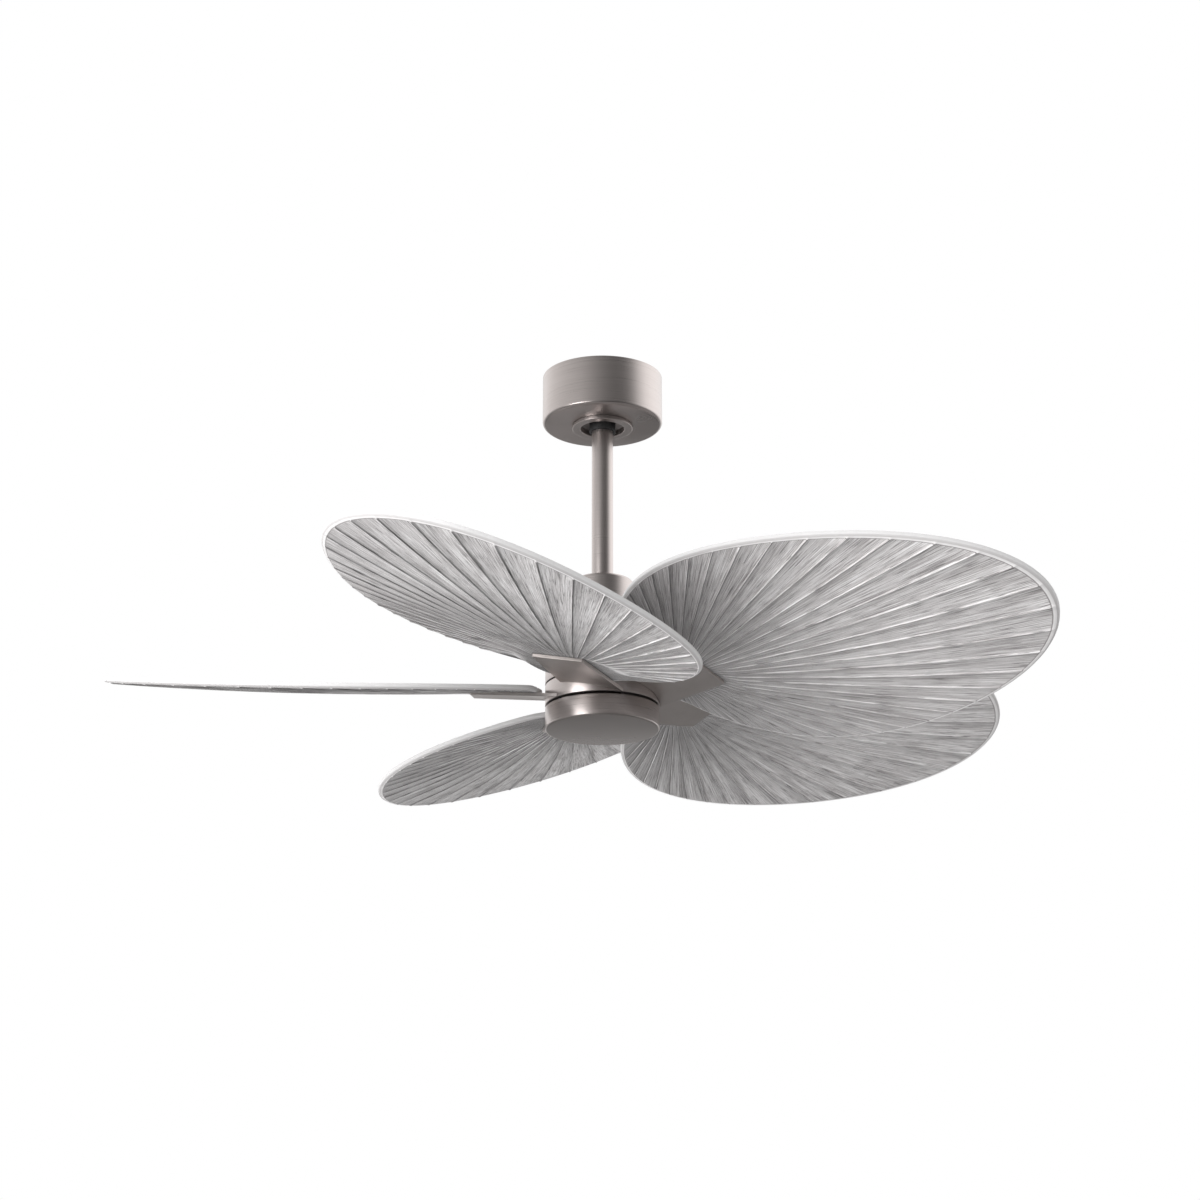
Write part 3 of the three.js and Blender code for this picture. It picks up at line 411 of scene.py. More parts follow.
def turned(name, profile, body, slot):
    """Turns a closed profile round Z. It runs with the solid on its left, so the faces point outwards."""
    vertices, faces, rings = [], [], []
    for r, z in profile:
        if r < ON_AXIS:
            rings.append([len(vertices)] * ROUND_SIDES)
            vertices.append((0, 0, z))
            continue
        rings.append(list(range(len(vertices), len(vertices) + ROUND_SIDES)))
        for i in range(ROUND_SIDES):
            a = 2 * math.pi * i / ROUND_SIDES
            vertices.append((r * math.cos(a), r * math.sin(a), z))
    closed = profile[0][0] > ON_AXIS
    for k in range(len(rings) if closed else len(rings) - 1):
        low, high = rings[k], rings[(k + 1) % len(rings)]
        for i in range(ROUND_SIDES):
            j = (i + 1) % ROUND_SIDES
            corners = [low[i], low[j], high[j], high[i]]
            face = [c for n, c in enumerate(corners) if c not in corners[:n]]
            if len(face) > 2:
                faces.append(face)
    return new_piece(name, vertices, faces, body, finishes[slot])


def make_canopy():
    r, low, top = canopy_high.x, canopy_low.z, canopy_high.z
    inner = r - SHEET
    profile = [
        *fillet(CANOPY_HOLE_R + EDGE, low + EDGE, EDGE, -180, -90, 4),
        *fillet(r - CANOPY_FILLET, low + CANOPY_FILLET, CANOPY_FILLET, -90, 0),
        *fillet(r - EDGE, top - EDGE, EDGE, 0, 90, 4),
        (inner, top),
        (inner, low + CANOPY_FILLET),
        *reversed(fillet(r - CANOPY_FILLET, low + CANOPY_FILLET, CANOPY_FILLET - SHEET, -90, 0)),
        (CANOPY_HOLE_R, low + SHEET),
    ]
    piece = turned("canopy_spun", profile, "ceiling_mount", "brushed_nickel")
    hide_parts("canopy")


def make_trim_ring():
    r, low, top = ring_high.x, ring_low.z, canopy_low.z - TRIM_STEP
    hole, lip, corner = TRIM_HOLE_R, ring_high.z, TRIM_CORNER
    profile = [
        *fillet(hole + corner, low + corner, corner, -180, -90, 6),
        *fillet(r - corner, low + corner, corner, -90, 0, 6),
        (r, top),
        (r - SHEET, top),
        (r - SHEET, low + SHEET),
        (hole + SHEET, low + SHEET),
        (hole + SHEET, lip),
        (hole, lip),
    ]
    piece = turned("trim_ring_pressed", profile, "ceiling_mount", "brushed_nickel")
    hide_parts("canopy_trim_ring")


def make_ball():
    bore = rod_high.x + ROD_GAP
    top = math.degrees(math.asin((ball_high.z - BALL_CENTRE) / BALL_R))
    foot = math.degrees(math.asin((ball_low.z - BALL_CENTRE) / BALL_R))
    profile = [
        (bore, -NECK_END),
        *fillet(NECK_R - NECK_FILLET, NECK_FILLET - NECK_END, NECK_FILLET, -90, 0, 6),
        (NECK_R, -NECK_TOP),
        *fillet(0, BALL_CENTRE, BALL_R, foot, top, 32),
        (bore, ball_high.z),
    ]
    piece = turned("hanger_ball_moulded", profile, "motor_drop", "black_plastic")
    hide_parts("hanger_ball")


def make_rod():
    r = rod_high.x
    profile = [
        (ROD_BORE_R, rod_low.z),
        *fillet(r - EDGE, rod_low.z + EDGE, EDGE, -90, 0, 4),
        *fillet(r - EDGE, rod_high.z - EDGE, EDGE, 0, 90, 4),
        (ROD_BORE_R, rod_high.z),
    ]
    piece = turned("downrod_tube", profile, "motor_drop", "brushed_nickel")
    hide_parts("downrod")


def make_cover():
    r, low, top = cover_high.x, cover_low.z, cover_high.z
    hole, inner = rod_high.x + ROD_GAP, r - HUB_WALL
    profile = [
        (r, low),
        *fillet(r - COVER_FILLET, top - COVER_FILLET, COVER_FILLET, 0, 90),
        *fillet(hole + EDGE, top - EDGE, EDGE, 90, 180, 4),
        (hole, top - HUB_WALL),
        (inner - COVER_FILLET, top - HUB_WALL),
        (inner, top - HUB_WALL - COVER_FILLET),
        (inner, low),
    ]
    piece = turned("coupling_cover_spun", profile, "motor_drop", "brushed_nickel")
    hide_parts("coupling_cover")


def make_housing():
    r, low, top = housing_high.x, housing_low.z, housing_high.z
    hole, inner = HOUSING_HOLE_R, r - HUB_WALL
    profile = [
        (inner, low),
        *fillet(r - EDGE, low + EDGE, EDGE, -90, 0, 4),
        *fillet(r - HOUSING_FILLET, top - HOUSING_FILLET, HOUSING_FILLET, 0, 90, 16),
        (hole, top),
        (hole, top - HUB_WALL),
        *fillet(r - HOUSING_FILLET, top - HOUSING_FILLET, HOUSING_FILLET - HUB_WALL, 90, 0, 8),
    ]
    piece = turned("motor_housing_spun", profile, "motor_drop", "brushed_nickel")
    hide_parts("motor_housing")


def make_band():
    r = band_high.x
    inner, tube = r - BAND_WALL, HUB_TUBE_R + HUB_TUBE_WALL
    profile = [
        *fillet(inner + EDGE, BAND_LOW + EDGE, EDGE, -180, -90, 4),
        *fillet(r - EDGE, BAND_LOW + EDGE, EDGE, -90, 0, 4),
        *fillet(r - EDGE, BAND_TOP - EDGE, EDGE, 0, 90, 4),
        (tube, BAND_TOP),
        (tube, band_high.z),
        (HUB_TUBE_R, band_high.z),
        (HUB_TUBE_R, band_low.z),
        (tube, band_low.z),
        (tube, BAND_TOP - BAND_PLATE),
        (inner, BAND_TOP - BAND_PLATE),
    ]
    piece = turned("rotor_band_spun", profile, "rotor", "brushed_nickel")
    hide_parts("rotor_plate")


def make_cap():
    r, low, top = cap_high.x, cap_low.z, cap_high.z - CAP_STEP
    inner = r - HUB_WALL
    profile = [
        (0, low),
        *fillet(r - CAP_FILLET, low + CAP_FILLET, CAP_FILLET, -90, 0),
        *fillet(r - EDGE, top - EDGE, EDGE, 0, 90, 4),
        (inner, top),
        *fillet(r - CAP_FILLET, low + CAP_FILLET, CAP_FILLET - HUB_WALL, 0, -90, 4),
        (0, low + HUB_WALL),
    ]
    piece = turned("bottom_cap_spun", profile, "motor_drop", "brushed_nickel")
    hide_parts("bottom_cap")


# ======== Arms ========


def tilted(drop, pitch, rise):
    """A frame whose X runs out along a piece and whose Y runs across it, towards its lowered side."""
    return Matrix.Translation((0, 0, -drop)) @ Matrix.Rotation(-rise, 4, "Y") @ Matrix.Rotation(-pitch, 4, "X")


arm_frame = tilted(ARM_DROP, ARM_PITCH, ARM_RISE)
blade_frame = tilted(BLADE_DROP, BLADE_PITCH, BLADE_RISE)


def around(k):
    return Matrix.Rotation(FIRST_AZIMUTH + 2 * math.pi * k / BLADES, 4, "Z")


def arm_root_x(y, z):
    """Where the arm meets the hub: X at which (x, y, z) of the arm's frame lies on the hub's clearance circle."""
    x = band_high.x
    for _ in range(6):  # each round comes closer to the circle
        p = arm_frame @ Vector((x, y, z))
        x += (band_high.x + HUB_CLEAR - math.hypot(p.x, p.y)) / math.cos(math.atan2(p.y, p.x))
    return x


def arm_level(z):
    """The arm's outline at height z, in its own frame, anticlockwise from the raised side's root."""
    slope_high = (ARM_END_HALF - ARM_ROOT_HIGH) / (ARM_END - ARM_ROOT)
    slope_low = (ARM_END_HALF - ARM_ROOT_LOW) / (ARM_END - ARM_ROOT)
    c, half = ARM_CORNER, ARM_END_HALF
    high_y = -(ARM_ROOT_HIGH + slope_high * ARM_CUT)
    low_y = ARM_ROOT_LOW + slope_low * ARM_CUT
    root = [low_y + (high_y - low_y) * i / ARM_CUT_STEPS for i in range(ARM_CUT_STEPS + 1)]
    return [
        *[(arm_root_x(y, z), y) for y in root],
        *fillet(ARM_END - c, -half + c, c, -90, 0, 5),
        *fillet(ARM_END - c, half - c, c, 0, 90, 5),
    ]


def make_arms():
    bottom = [(x, y, 0.0) for x, y in arm_level(0.0)]
    top = [(x, y, ARM_THICK) for x, y in arm_level(ARM_THICK)]
    n = len(bottom)
    faces = [list(range(n))[::-1], list(range(n, 2 * n))]
    faces += [[i, (i + 1) % n, n + (i + 1) % n, n + i] for i in range(n)]
    for k in range(BLADES):
        place = around(k) @ arm_frame
        vertices = [place @ Vector(p) for p in bottom + top]
        piece = new_piece(f"blade_arm_stamped_{k + 1}", vertices, faces, "rotor", nickel_flat, 40)
        bevel = piece.modifiers.new("stamped edge", "BEVEL")
        bevel.width, bevel.segments, bevel.limit_method = ARM_BEVEL, 3, "ANGLE"
        bevel.harden_normals = True
        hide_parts(f"blade_arm_{k + 1}")


# ======== Blades ========

SECTION_STEPS = 64  # rows from the fan point out along the underside, round the rim and back on top
UNDER_SHARE = 0.5  # share of them on the underside
RIM_SHARE = 0.25  # and on the rim
PLEAT_STEPS = 8
BACK_STEPS = 40
# A pleat's section on the underside: places over its width, one to a step, and the height at each.
# Each fold stands out as a narrow rib with two steep sides, and a nearly flat panel follows it.
PLEAT_PLACES = (0, 0.018, 0.034, 0.05, 0.068, 0.2, 0.45, 0.75, 1)
PLEAT_HEIGHTS = (1, 0.24, 0.12, 0.24, 0.86, 0.86, 0.95, 1, 1)
OUTLINE_SIZES = ("Half Length", "Half Width", "Middle", "Egg", "Flat", "Shift", "Base", "Fan Point")
OUTLINE_SIDES = 1440


def start_tree(name, sizes, with_material=True):
    """A node tree with its named inputs and its geometry output. Also gives back its add and its inputs' sockets."""
    tree = bpy.data.node_groups.new(name, "GeometryNodeTree")
    tree.interface.new_socket("Geometry", in_out="INPUT", socket_type="NodeSocketGeometry")
    for size, value in sizes.items():
        kind = "NodeSocketInt" if isinstance(value, int) else "NodeSocketFloat"
        tree.interface.new_socket(size, in_out="INPUT", socket_type=kind).default_value = value
    if with_material:
        tree.interface.new_socket("Material", in_out="INPUT", socket_type="NodeSocketMaterial")
    tree.interface.new_socket("Geometry", in_out="OUTPUT", socket_type="NodeSocketGeometry")
    add = partial(add_node, tree)
    return tree, add, add("NodeGroupInput").outputs


def outline_wall_tree():
    """The blade's egg-shaped outline about the fan point, as a thin wall that rays can hit."""
    sizes = {name: BLADE_SIZES[name] for name in OUTLINE_SIZES}
    tree, add, size = start_tree("blade outline wall", sizes, with_material=False)
    circle = add("GeometryNodeCurvePrimitiveCircle", {"Resolution": OUTLINE_SIDES, "Radius": 1.0})
    unit = add("ShaderNodeSeparateXYZ", [add("GeometryNodeInputPosition")])
    c, s = unit.outputs[0], unit.outputs[1]
    turn = add(MATH, [s, c], operation="ARCTAN2")
    turn_2 = add(MATH, [turn, 2.0], operation="MULTIPLY")
    turn_3 = add(MATH, [turn, 3.0], operation="MULTIPLY")
    cos_2 = add(MATH, [turn_2], operation="COSINE")
    cos_3 = add(MATH, [turn_3], operation="COSINE")
    ends = add(MATH, [c, size["Half Length"], size["Middle"]], operation="MULTIPLY_ADD")
    shifted = add(MATH, [cos_2, size["Shift"], ends], operation="MULTIPLY_ADD")
    along = add(MATH, [cos_3, size["Base"], shifted], operation="MULTIPLY_ADD")
    x = add(MATH, [along, size["Fan Point"]], operation="SUBTRACT")
    flat = add(MATH, [cos_2, size["Flat"], 1.0], operation="MULTIPLY_ADD")
    egg = add(MATH, [c, size["Egg"]], operation="MULTIPLY")
    swell = add(MATH, [flat, egg], operation="SUBTRACT")
    across = add(MATH, [s, size["Half Width"]], operation="MULTIPLY")
    y = add(MATH, [across, swell], operation="MULTIPLY")
    # The wall stands from 1 m under the fan point to 1 m over it.
    place = add(XYZ, [x, y, -1.0])
    drawn = add("GeometryNodeSetPosition", {"Geometry": circle, "Position": place})
    edges = add("GeometryNodeCurveToMesh", [drawn])
    up = add(XYZ, {2: 1.0})
    wall = add("GeometryNodeExtrudeMesh", {"Mesh": edges, "Offset": up, "Offset Scale": 2.0}, mode="EDGES")
    add("NodeGroupOutput", [wall])
    return tree


def reach_of(add, wall_tree, size, half_length, half_width, direction):
    """The distance from the fan point to the outline in a direction, by casting a ray at its wall."""
    sizes = {**{name: size[name] for name in OUTLINE_SIZES}, "Half Length": half_length, "Half Width": half_width}
    wall = add("GeometryNodeGroup", sizes, node_tree=wall_tree)
    ray = {"Target Geometry": wall, "Source Position": add(XYZ), "Ray Direction": direction, "Ray Length": 2.0}
    return add("GeometryNodeRaycast", ray).outputs["Hit Distance"]


def blade_tree():
    """A pleated palm leaf as one closed skin.

    Its grid's columns go round the fan point, a few to each pleat, and its rows follow the section: out along the
    underside, round the rim and back on top. Rays to the outline's wall say how far out each column goes.
    """
    seat = {"Seat Height": 0.0, "Seat Slope X": 0.0, "Seat Slope Y": 0.0, "Leaf Number": 0}
    tree, add, size = start_tree("pleated palm blade", {**BLADE_SIZES, **seat})
    pleat_columns = add(MATH, [size["Pleats"], PLEAT_STEPS], operation="MULTIPLY")
    last_column = add(MATH, [pleat_columns, BACK_STEPS], operation="ADD")
    columns = add(MATH, [last_column, 1.0], operation="ADD")
    rows = SECTION_STEPS + 1
    grid = add("GeometryNodeMeshGrid", {"Size X": 1.0, "Size Y": 1.0, "Vertices X": columns, "Vertices Y": rows})
    index = add("GeometryNodeInputIndex")
    share = add(MATH, [index, rows], operation="DIVIDE")
    column = add(MATH, [share], operation="FLOOR")
    row = add(MATH, [index, rows], operation="MODULO")
    down = add(MATH, [row, SECTION_STEPS], operation="DIVIDE")

    # Columns: the angle round the fan point, and the pleat's height there.
    in_pleats = add(MATH, [column, PLEAT_STEPS], operation="DIVIDE")
    pleat = add(MATH, [in_pleats], operation="FLOOR")
    step_share = add(MATH, [in_pleats], operation="FRACT")
    phase = add(CURVE, {"Value": step_share})
    draw_curve(phase, [(i / PLEAT_STEPS, place) for i, place in enumerate(PLEAT_PLACES)])
    section = add(CURVE, {"Value": phase})
    draw_curve(section, list(zip(PLEAT_PLACES, PLEAT_HEIGHTS)))
    half_count = add(MATH, [size["Pleats"], 2.0], operation="DIVIDE")
    counted = add(MATH, [pleat, phase], operation="ADD")
    centred = add(MATH, [counted, half_count], operation="SUBTRACT")
    front = add(MATH, [centred, size["Pleat Angle"]], operation="MULTIPLY")
    half_fan = add(MATH, [half_count, size["Pleat Angle"]], operation="MULTIPLY")
    whole = add(MATH, [2 * math.pi, half_fan], operation="SUBTRACT")
    back = add(MAP_RANGE, [column, pleat_columns, last_column, half_fan, whole])
    is_back = add(MATH, [column, pleat_columns], operation="GREATER_THAN")
    angle = add(MIX, {0: is_back, 2: front, 3: back}, data_type="FLOAT")
    height = add(MIX, {0: is_back, 2: section, 3: 1.0}, data_type="FLOAT")
    cosine = add(MATH, [angle], operation="COSINE")
    sine = add(MATH, [angle], operation="SINE")
    direction = add(XYZ, [cosine, sine, 0.0])

    # Rows: share of the way out, share of the rim's width, and share of the thickness.
    under, rim_end = UNDER_SHARE, UNDER_SHARE + RIM_SHARE
    before_rim = under * 31 / 32  # one row before the rim

    def round_rim(*points):
        """A curve's points on the rim, from their places as shares of its rows."""
        return [(under + RIM_SHARE * place, value) for place, value in points]

    out = add(CURVE, {"Value": down})
    draw_curve(out, [(0, 0), (before_rim, 0.985), (under, 1), (rim_end, 1), (1, 0)])
    across_rim = add(CURVE, {"Value": down})
    rim_out = round_rim((0, 0), (0.1, 0.12), (0.25, 0.84), (0.38, 0.97), (0.5, 1.0))
    rim_back = round_rim((0.62, 0.97), (0.75, 0.84), (0.9, 0.12), (1, 0))
    draw_curve(across_rim, [(0, 0), *rim_out, *rim_back, (1, 0)])
    through = add(CURVE, {"Value": down})
    draw_curve(through, [(0, 0), *round_rim((0.25, 0), (0.38, 0.12), (0.5, 0.5), (0.62, 0.88), (0.75, 1)), (1, 1)])

    # How far out the rim's inner and outer edges lie.
    wall_tree = outline_wall_tree()
    outer = reach_of(add, wall_tree, size, size["Half Length"], size["Half Width"], direction)
    in_length = add(MATH, [size["Half Length"], size["Rim Width"]], operation="SUBTRACT")
    in_width = add(MATH, [size["Half Width"], size["Rim Width"]], operation="SUBTRACT")
    inner = reach_of(add, wall_tree, size, in_length, in_width, direction)
    edge = add(MIX, {0: across_rim, 2: inner, 3: outer}, data_type="FLOAT")
    radius = add(MATH, [edge, out], operation="MULTIPLY")
    x = add(MATH, [radius, cosine, size["Fan Point"]], operation="MULTIPLY_ADD")
    y = add(MATH, [radius, sine], operation="MULTIPLY")

    # Near the fan point the blade is a flat pad on the arm; further out it is dished and pleated.
    slope_x = add(MATH, [x, size["Seat Slope X"], size["Seat Height"]], operation="MULTIPLY_ADD")
    seat_plane = add(MATH, [y, size["Seat Slope Y"], slope_x], operation="MULTIPLY_ADD")
    near = add(MATH, [size["Pad Thickness"], through, seat_plane], operation="MULTIPLY_ADD")
    from_middle = add(MATH, [x, size["Middle"]], operation="SUBTRACT")
    run_x = add(MATH, [from_middle, 2.0], operation="POWER")
    run_y = add(MATH, [y, 2.0], operation="POWER")
    rise_x = add(MATH, [run_x, size["Bowl Along"]], operation="DIVIDE")
    rise_y = add(MATH, [run_y, size["Bowl Across"]], operation="DIVIDE")
    bowl = add(MATH, [rise_x, rise_y], operation="ADD")
    # Ribs are lower where they crowd together near the stem.
    grown = add(MAP_RANGE, [radius, 0.06, 0.28, 0.8, 1.0])
    recess = add(MATH, [1.0, height], operation="SUBTRACT")
    short = add(MAP_RANGE, [out, 0.986, 0.999, 1.0, 0.0])
    stands = add(MATH, [recess, grown], operation="MULTIPLY")
    stands = add(MATH, [stands, short], operation="MULTIPLY")
    kept = add(MATH, [1.0, stands], operation="SUBTRACT")
    lift = add(MATH, [kept, size["Pleat Depth"]], operation="MULTIPLY")
    low = add(MIX, {0: across_rim, 2: lift, 3: size["Rim Low"]}, data_type="FLOAT")
    thickness = add(MIX, {0: across_rim, 2: size["Skin"], 3: size["Rim Height"]}, data_type="FLOAT")
    raised = add(MATH, [thickness, through, low], operation="MULTIPLY_ADD")
    far = add(MATH, [bowl, raised], operation="ADD")
    blend = [radius, size["Pad Radius"], size["Pleated From"], 0.0, 1.0]
    pleated = add(MAP_RANGE, blend, interpolation_type="SMOOTHSTEP")
    z = add(MIX, {0: pleated, 2: near, 3: far}, data_type="FLOAT")
    place = add(XYZ, [x, y, z])

    # The leaf coordinates: pleats round the fan point, shifted for each blade, and metres out from it.
    leaf_x = add(MATH, [angle, size["Pleat Angle"]], operation="DIVIDE")
    shift = add(MATH, [size["Leaf Number"], LEAF_STEP, leaf_x], operation="MULTIPLY_ADD")
    leaf = add(XYZ, [shift, radius, 0.0])
    # Worked out at the points, because the columns and rows are counted there, and stored at the corners.
    leaf = add("GeometryNodeFieldOnDomain", [leaf], data_type="FLOAT_VECTOR", domain="POINT")
    mapped = add(STORE, {"Geometry": grid, "Name": "leaf", "Value": leaf}, data_type="FLOAT2", domain="CORNER")
    # How much of a point lies on the rim's outer wall, for its paint.
    on_wall = add(CURVE, {"Value": down})
    draw_curve(on_wall, [(0, 0), *round_rim((0.3, 0), (0.4, 1), (0.62, 1), (0.75, 0)), (1, 0)])
    marked = add(STORE, {"Geometry": mapped, "Name": "wall", "Value": on_wall}, data_type="FLOAT", domain="POINT")
    # How far a point lies across the face's border, to 0.3, and then across the rim, to 1.
    on_rim = add(CURVE, {"Value": down})
    across = [(place, 0.3 + 0.7 * value) for place, value in rim_out + rim_back[:-1]]
    draw_curve(on_rim, [(0, 0), (before_rim, 0), *across, (rim_end, 0), (1, 0)])
    rimmed = add(STORE, {"Geometry": marked, "Name": "rim", "Value": on_rim}, data_type="FLOAT", domain="POINT")
    shaped = add("GeometryNodeSetPosition", {"Geometry": rimmed, "Position": place})
    closed = add("GeometryNodeMergeByDistance", {"Geometry": shaped, "Distance": WELD})
    smooth = add("GeometryNodeSetShadeSmooth", {"Geometry": closed})
    real = add("GeometryNodeRealizeInstances", [smooth])
    painted = add("GeometryNodeSetMaterial", {"Geometry": real, "Material": size["Material"]})
    add("NodeGroupOutput", [painted])
    return tree


def grown_mesh(name, tree, values, base=None):
    """Runs a node tree on an object and gives back the plain mesh that it makes."""
    source = bpy.data.objects.new(name, base or bpy.data.meshes.new(name))
    bpy.context.scene.collection.objects.link(source)
    modifier = source.modifiers.new(name, "NODES")
    modifier.node_group = tree
    for item in tree.interface.items_tree:
        if item.item_type == "SOCKET" and item.in_out == "INPUT" and item.name in values:
            modifier[item.identifier] = values[item.name]
    evaluated = source.evaluated_get(bpy.context.evaluated_depsgraph_get())
    mesh = bpy.data.meshes.new_from_object(evaluated)
    mesh.materials.clear()  # Set Material leaves an empty slot before its own
    bpy.data.objects.remove(source)
    return mesh


def seat_values():
    """The arm's top face as a plane over the blade's own X and Y."""
    to_blade = blade_frame.inverted() @ arm_frame
    normal = to_blade.to_3x3() @ Vector((0, 0, 1))
    point = to_blade @ Vector((0, 0, ARM_THICK + SEAT_GAP))
    slope_x, slope_y = -normal.x / normal.z, -normal.y / normal.z
    height = point.z - slope_x * point.x - slope_y * point.y
    return {"Seat Height": height, "Seat Slope X": slope_x, "Seat Slope Y": slope_y}


def make_blades():
    tree = blade_tree()
    for k in range(BLADES):
        values = {**BLADE_SIZES, **seat_values(), "Leaf Number": k, "Material": palm}
        mesh = grown_mesh(f"palm_blade_{k + 1}", tree, values)
        mesh.transform(around(k) @ blade_frame)
        piece = dress(f"palm_blade_{k + 1}", mesh, "rotor", palm, 50)
        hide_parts(f"blade_{k + 1}")


# ======== Screws ========

SCREW_SIDES = 36
# A screw's section from the middle of its head's top to its tip, as rows: share of the head's radius (or of the
# shank's, from the seat on), share of the head's height, and share of the shank's length.
HEAD_ROWS = [(0, 1), (0.1, 1), (0.2, 1), (0.3, 1), (0.4, 1), (0.5, 1)]
RECESS_ROWS = len(HEAD_ROWS)  # those that the cross recess can reach
HEAD_ROWS += [(0.54, 1), (0.7, 0.98), (0.86, 0.86), (0.97, 0.62), (1, 0.4), (1, 0)]
THREAD_ROWS = 48


def screw_tree():
    """Pan-head screws with a cross recess and a rolled thread, one on each point of the mesh that it runs on.

    The points carry each screw's turn, its length and its direction down the shank.
    """
    tree, add, size = start_tree("pan-head screws", SCREW_SIZES)
    heads = len(HEAD_ROWS)
    rows = heads + THREAD_ROWS + 2  # the last two are the shank's tip
    columns = SCREW_SIDES + 1
    grid = add("GeometryNodeMeshGrid", {"Size X": 1.0, "Size Y": 1.0, "Vertices X": columns, "Vertices Y": rows})
    index = add("GeometryNodeInputIndex")
    column = add(MATH, [index, rows], operation="DIVIDE")
    column = add(MATH, [column], operation="FLOOR")
    row = add(MATH, [index, rows], operation="MODULO")
    share = add(MATH, [row, rows - 1], operation="DIVIDE")
    angle = add(MATH, [column, 2 * math.pi / SCREW_SIDES], operation="MULTIPLY")
    cosine = add(MATH, [angle], operation="COSINE")
    sine = add(MATH, [angle], operation="SINE")

    last = rows - 1
    head_r = add(CURVE, {"Value": share})
    draw_curve(head_r, [(i / last, r) for i, (r, _) in enumerate(HEAD_ROWS)] + [(heads / last, 0), (1, 0)])
    head_z = add(CURVE, {"Value": share})
    draw_curve(head_z, [(i / last, z) for i, (_, z) in enumerate(HEAD_ROWS)] + [(1, 0)])
    shank_r = add(CURVE, {"Value": share})
    tip = [((last - 2) / last, 1), ((last - 1) / last, 0.72), (1, 0)]
    draw_curve(shank_r, [(0, 0), ((heads - 1) / last, 0), (heads / last, 1), *tip])
    along = add(CURVE, {"Value": share})
    draw_curve(along, [(0, 0), (heads / last, 0), ((last - 2) / last, 0.94), ((last - 1) / last, 1), (1, 1)])

    # The thread: a triangular wave that climbs one pitch a turn.
    down = add(MATH, [along, size["Shank Length"]], operation="MULTIPLY")
    turns = add(MATH, [down, size["Thread Pitch"]], operation="DIVIDE")
    turned_by = add(MATH, [column, SCREW_SIDES], operation="DIVIDE")
    climb = add(MATH, [turns, turned_by], operation="ADD")
    wave = add(MATH, [climb, 0.5], operation="PINGPONG")
    cut = add(MATH, [wave, size["Thread Depth"]], operation="MULTIPLY")
    cut = add(MATH, [cut, 2.0], operation="MULTIPLY")
    bare = add(MATH, [size["Shank Radius"], cut], operation="SUBTRACT")
    shank = add(MATH, [shank_r, bare], operation="MULTIPLY")
    radius = add(MATH, [head_r, size["Head Radius"], shank], operation="MULTIPLY_ADD")

    # The cross recess: deep where a point of the head's top lies within an arm of the cross.
    sides = [add(MATH, [side], operation="ABSOLUTE") for side in (cosine, sine)]
    off_arm = add(MATH, [sides[0], sides[1]], operation="MINIMUM")
    off_arm = add(MATH, [off_arm, radius], operation="MULTIPLY")
    in_arm = add(MATH, [off_arm, size["Recess Width"]], operation="LESS_THAN")
    reaches = add(MATH, [row, RECESS_ROWS - 0.5], operation="LESS_THAN")
    deep = add(MATH, [in_arm, reaches], operation="MULTIPLY")
    sunk = add(MATH, [deep, size["Recess Depth"]], operation="MULTIPLY")
    lifted = add(MATH, [head_z, size["Head Height"]], operation="MULTIPLY")
    z = add(MATH, [lifted, sunk], operation="SUBTRACT")
    z = add(MATH, [z, down], operation="SUBTRACT")
    x = add(MATH, [radius, cosine], operation="MULTIPLY")
    y = add(MATH, [radius, sine], operation="MULTIPLY")
    place = add(XYZ, [x, y, z])
    down_shank = {"Geometry": grid, "Name": "down the shank", "Value": along}
    marked = add(STORE, down_shank, data_type="FLOAT", domain="POINT")
    shaped = add("GeometryNodeSetPosition", {"Geometry": marked, "Position": place})
    outward = add("GeometryNodeFlipFaces", [shaped])
    screw = add("GeometryNodeMergeByDistance", {"Geometry": outward, "Distance": WELD})

    turn = add(STORED, {"Name": "turn"}, data_type="FLOAT_VECTOR")
    placed = add("GeometryNodeInstanceOnPoints", {"Points": size["Geometry"], "Instance": screw, "Rotation": turn})
    real = add("GeometryNodeRealizeInstances", [placed])
    # Each shank is drawn out to its own length.
    length = add(STORED, {"Name": "length"}, data_type="FLOAT")
    way = add(STORED, {"Name": "way"}, data_type="FLOAT_VECTOR")
    share_down = add(STORED, {"Name": "down the shank"}, data_type="FLOAT")
    longer = add(MATH, [length, size["Shank Length"]], operation="SUBTRACT")
    drawn = add(MATH, [longer, share_down], operation="MULTIPLY")
    offset = add("ShaderNodeVectorMath", {0: way, "Scale": drawn}, operation="SCALE")
    fitted = add("GeometryNodeSetPosition", {"Geometry": real, "Offset": offset})
    painted = add("GeometryNodeSetMaterial", {"Geometry": fitted, "Material": size["Material"]})
    add("NodeGroupOutput", [painted])
    return tree


def boxed_screw(name, head_up):
    """The seat and length of a plain CAD screw, read from its box."""
    low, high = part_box(name)
    head = SCREW_SIZES["Head Height"]
    seat = high.z - head if head_up else low.z + head
    length = seat - low.z if head_up else high.z - seat
    upright = Matrix.Translation(((low.x + high.x) / 2, (low.y + high.y) / 2, seat))
    return name, upright if head_up else upright @ Matrix.Rotation(math.pi, 4, "X"), length


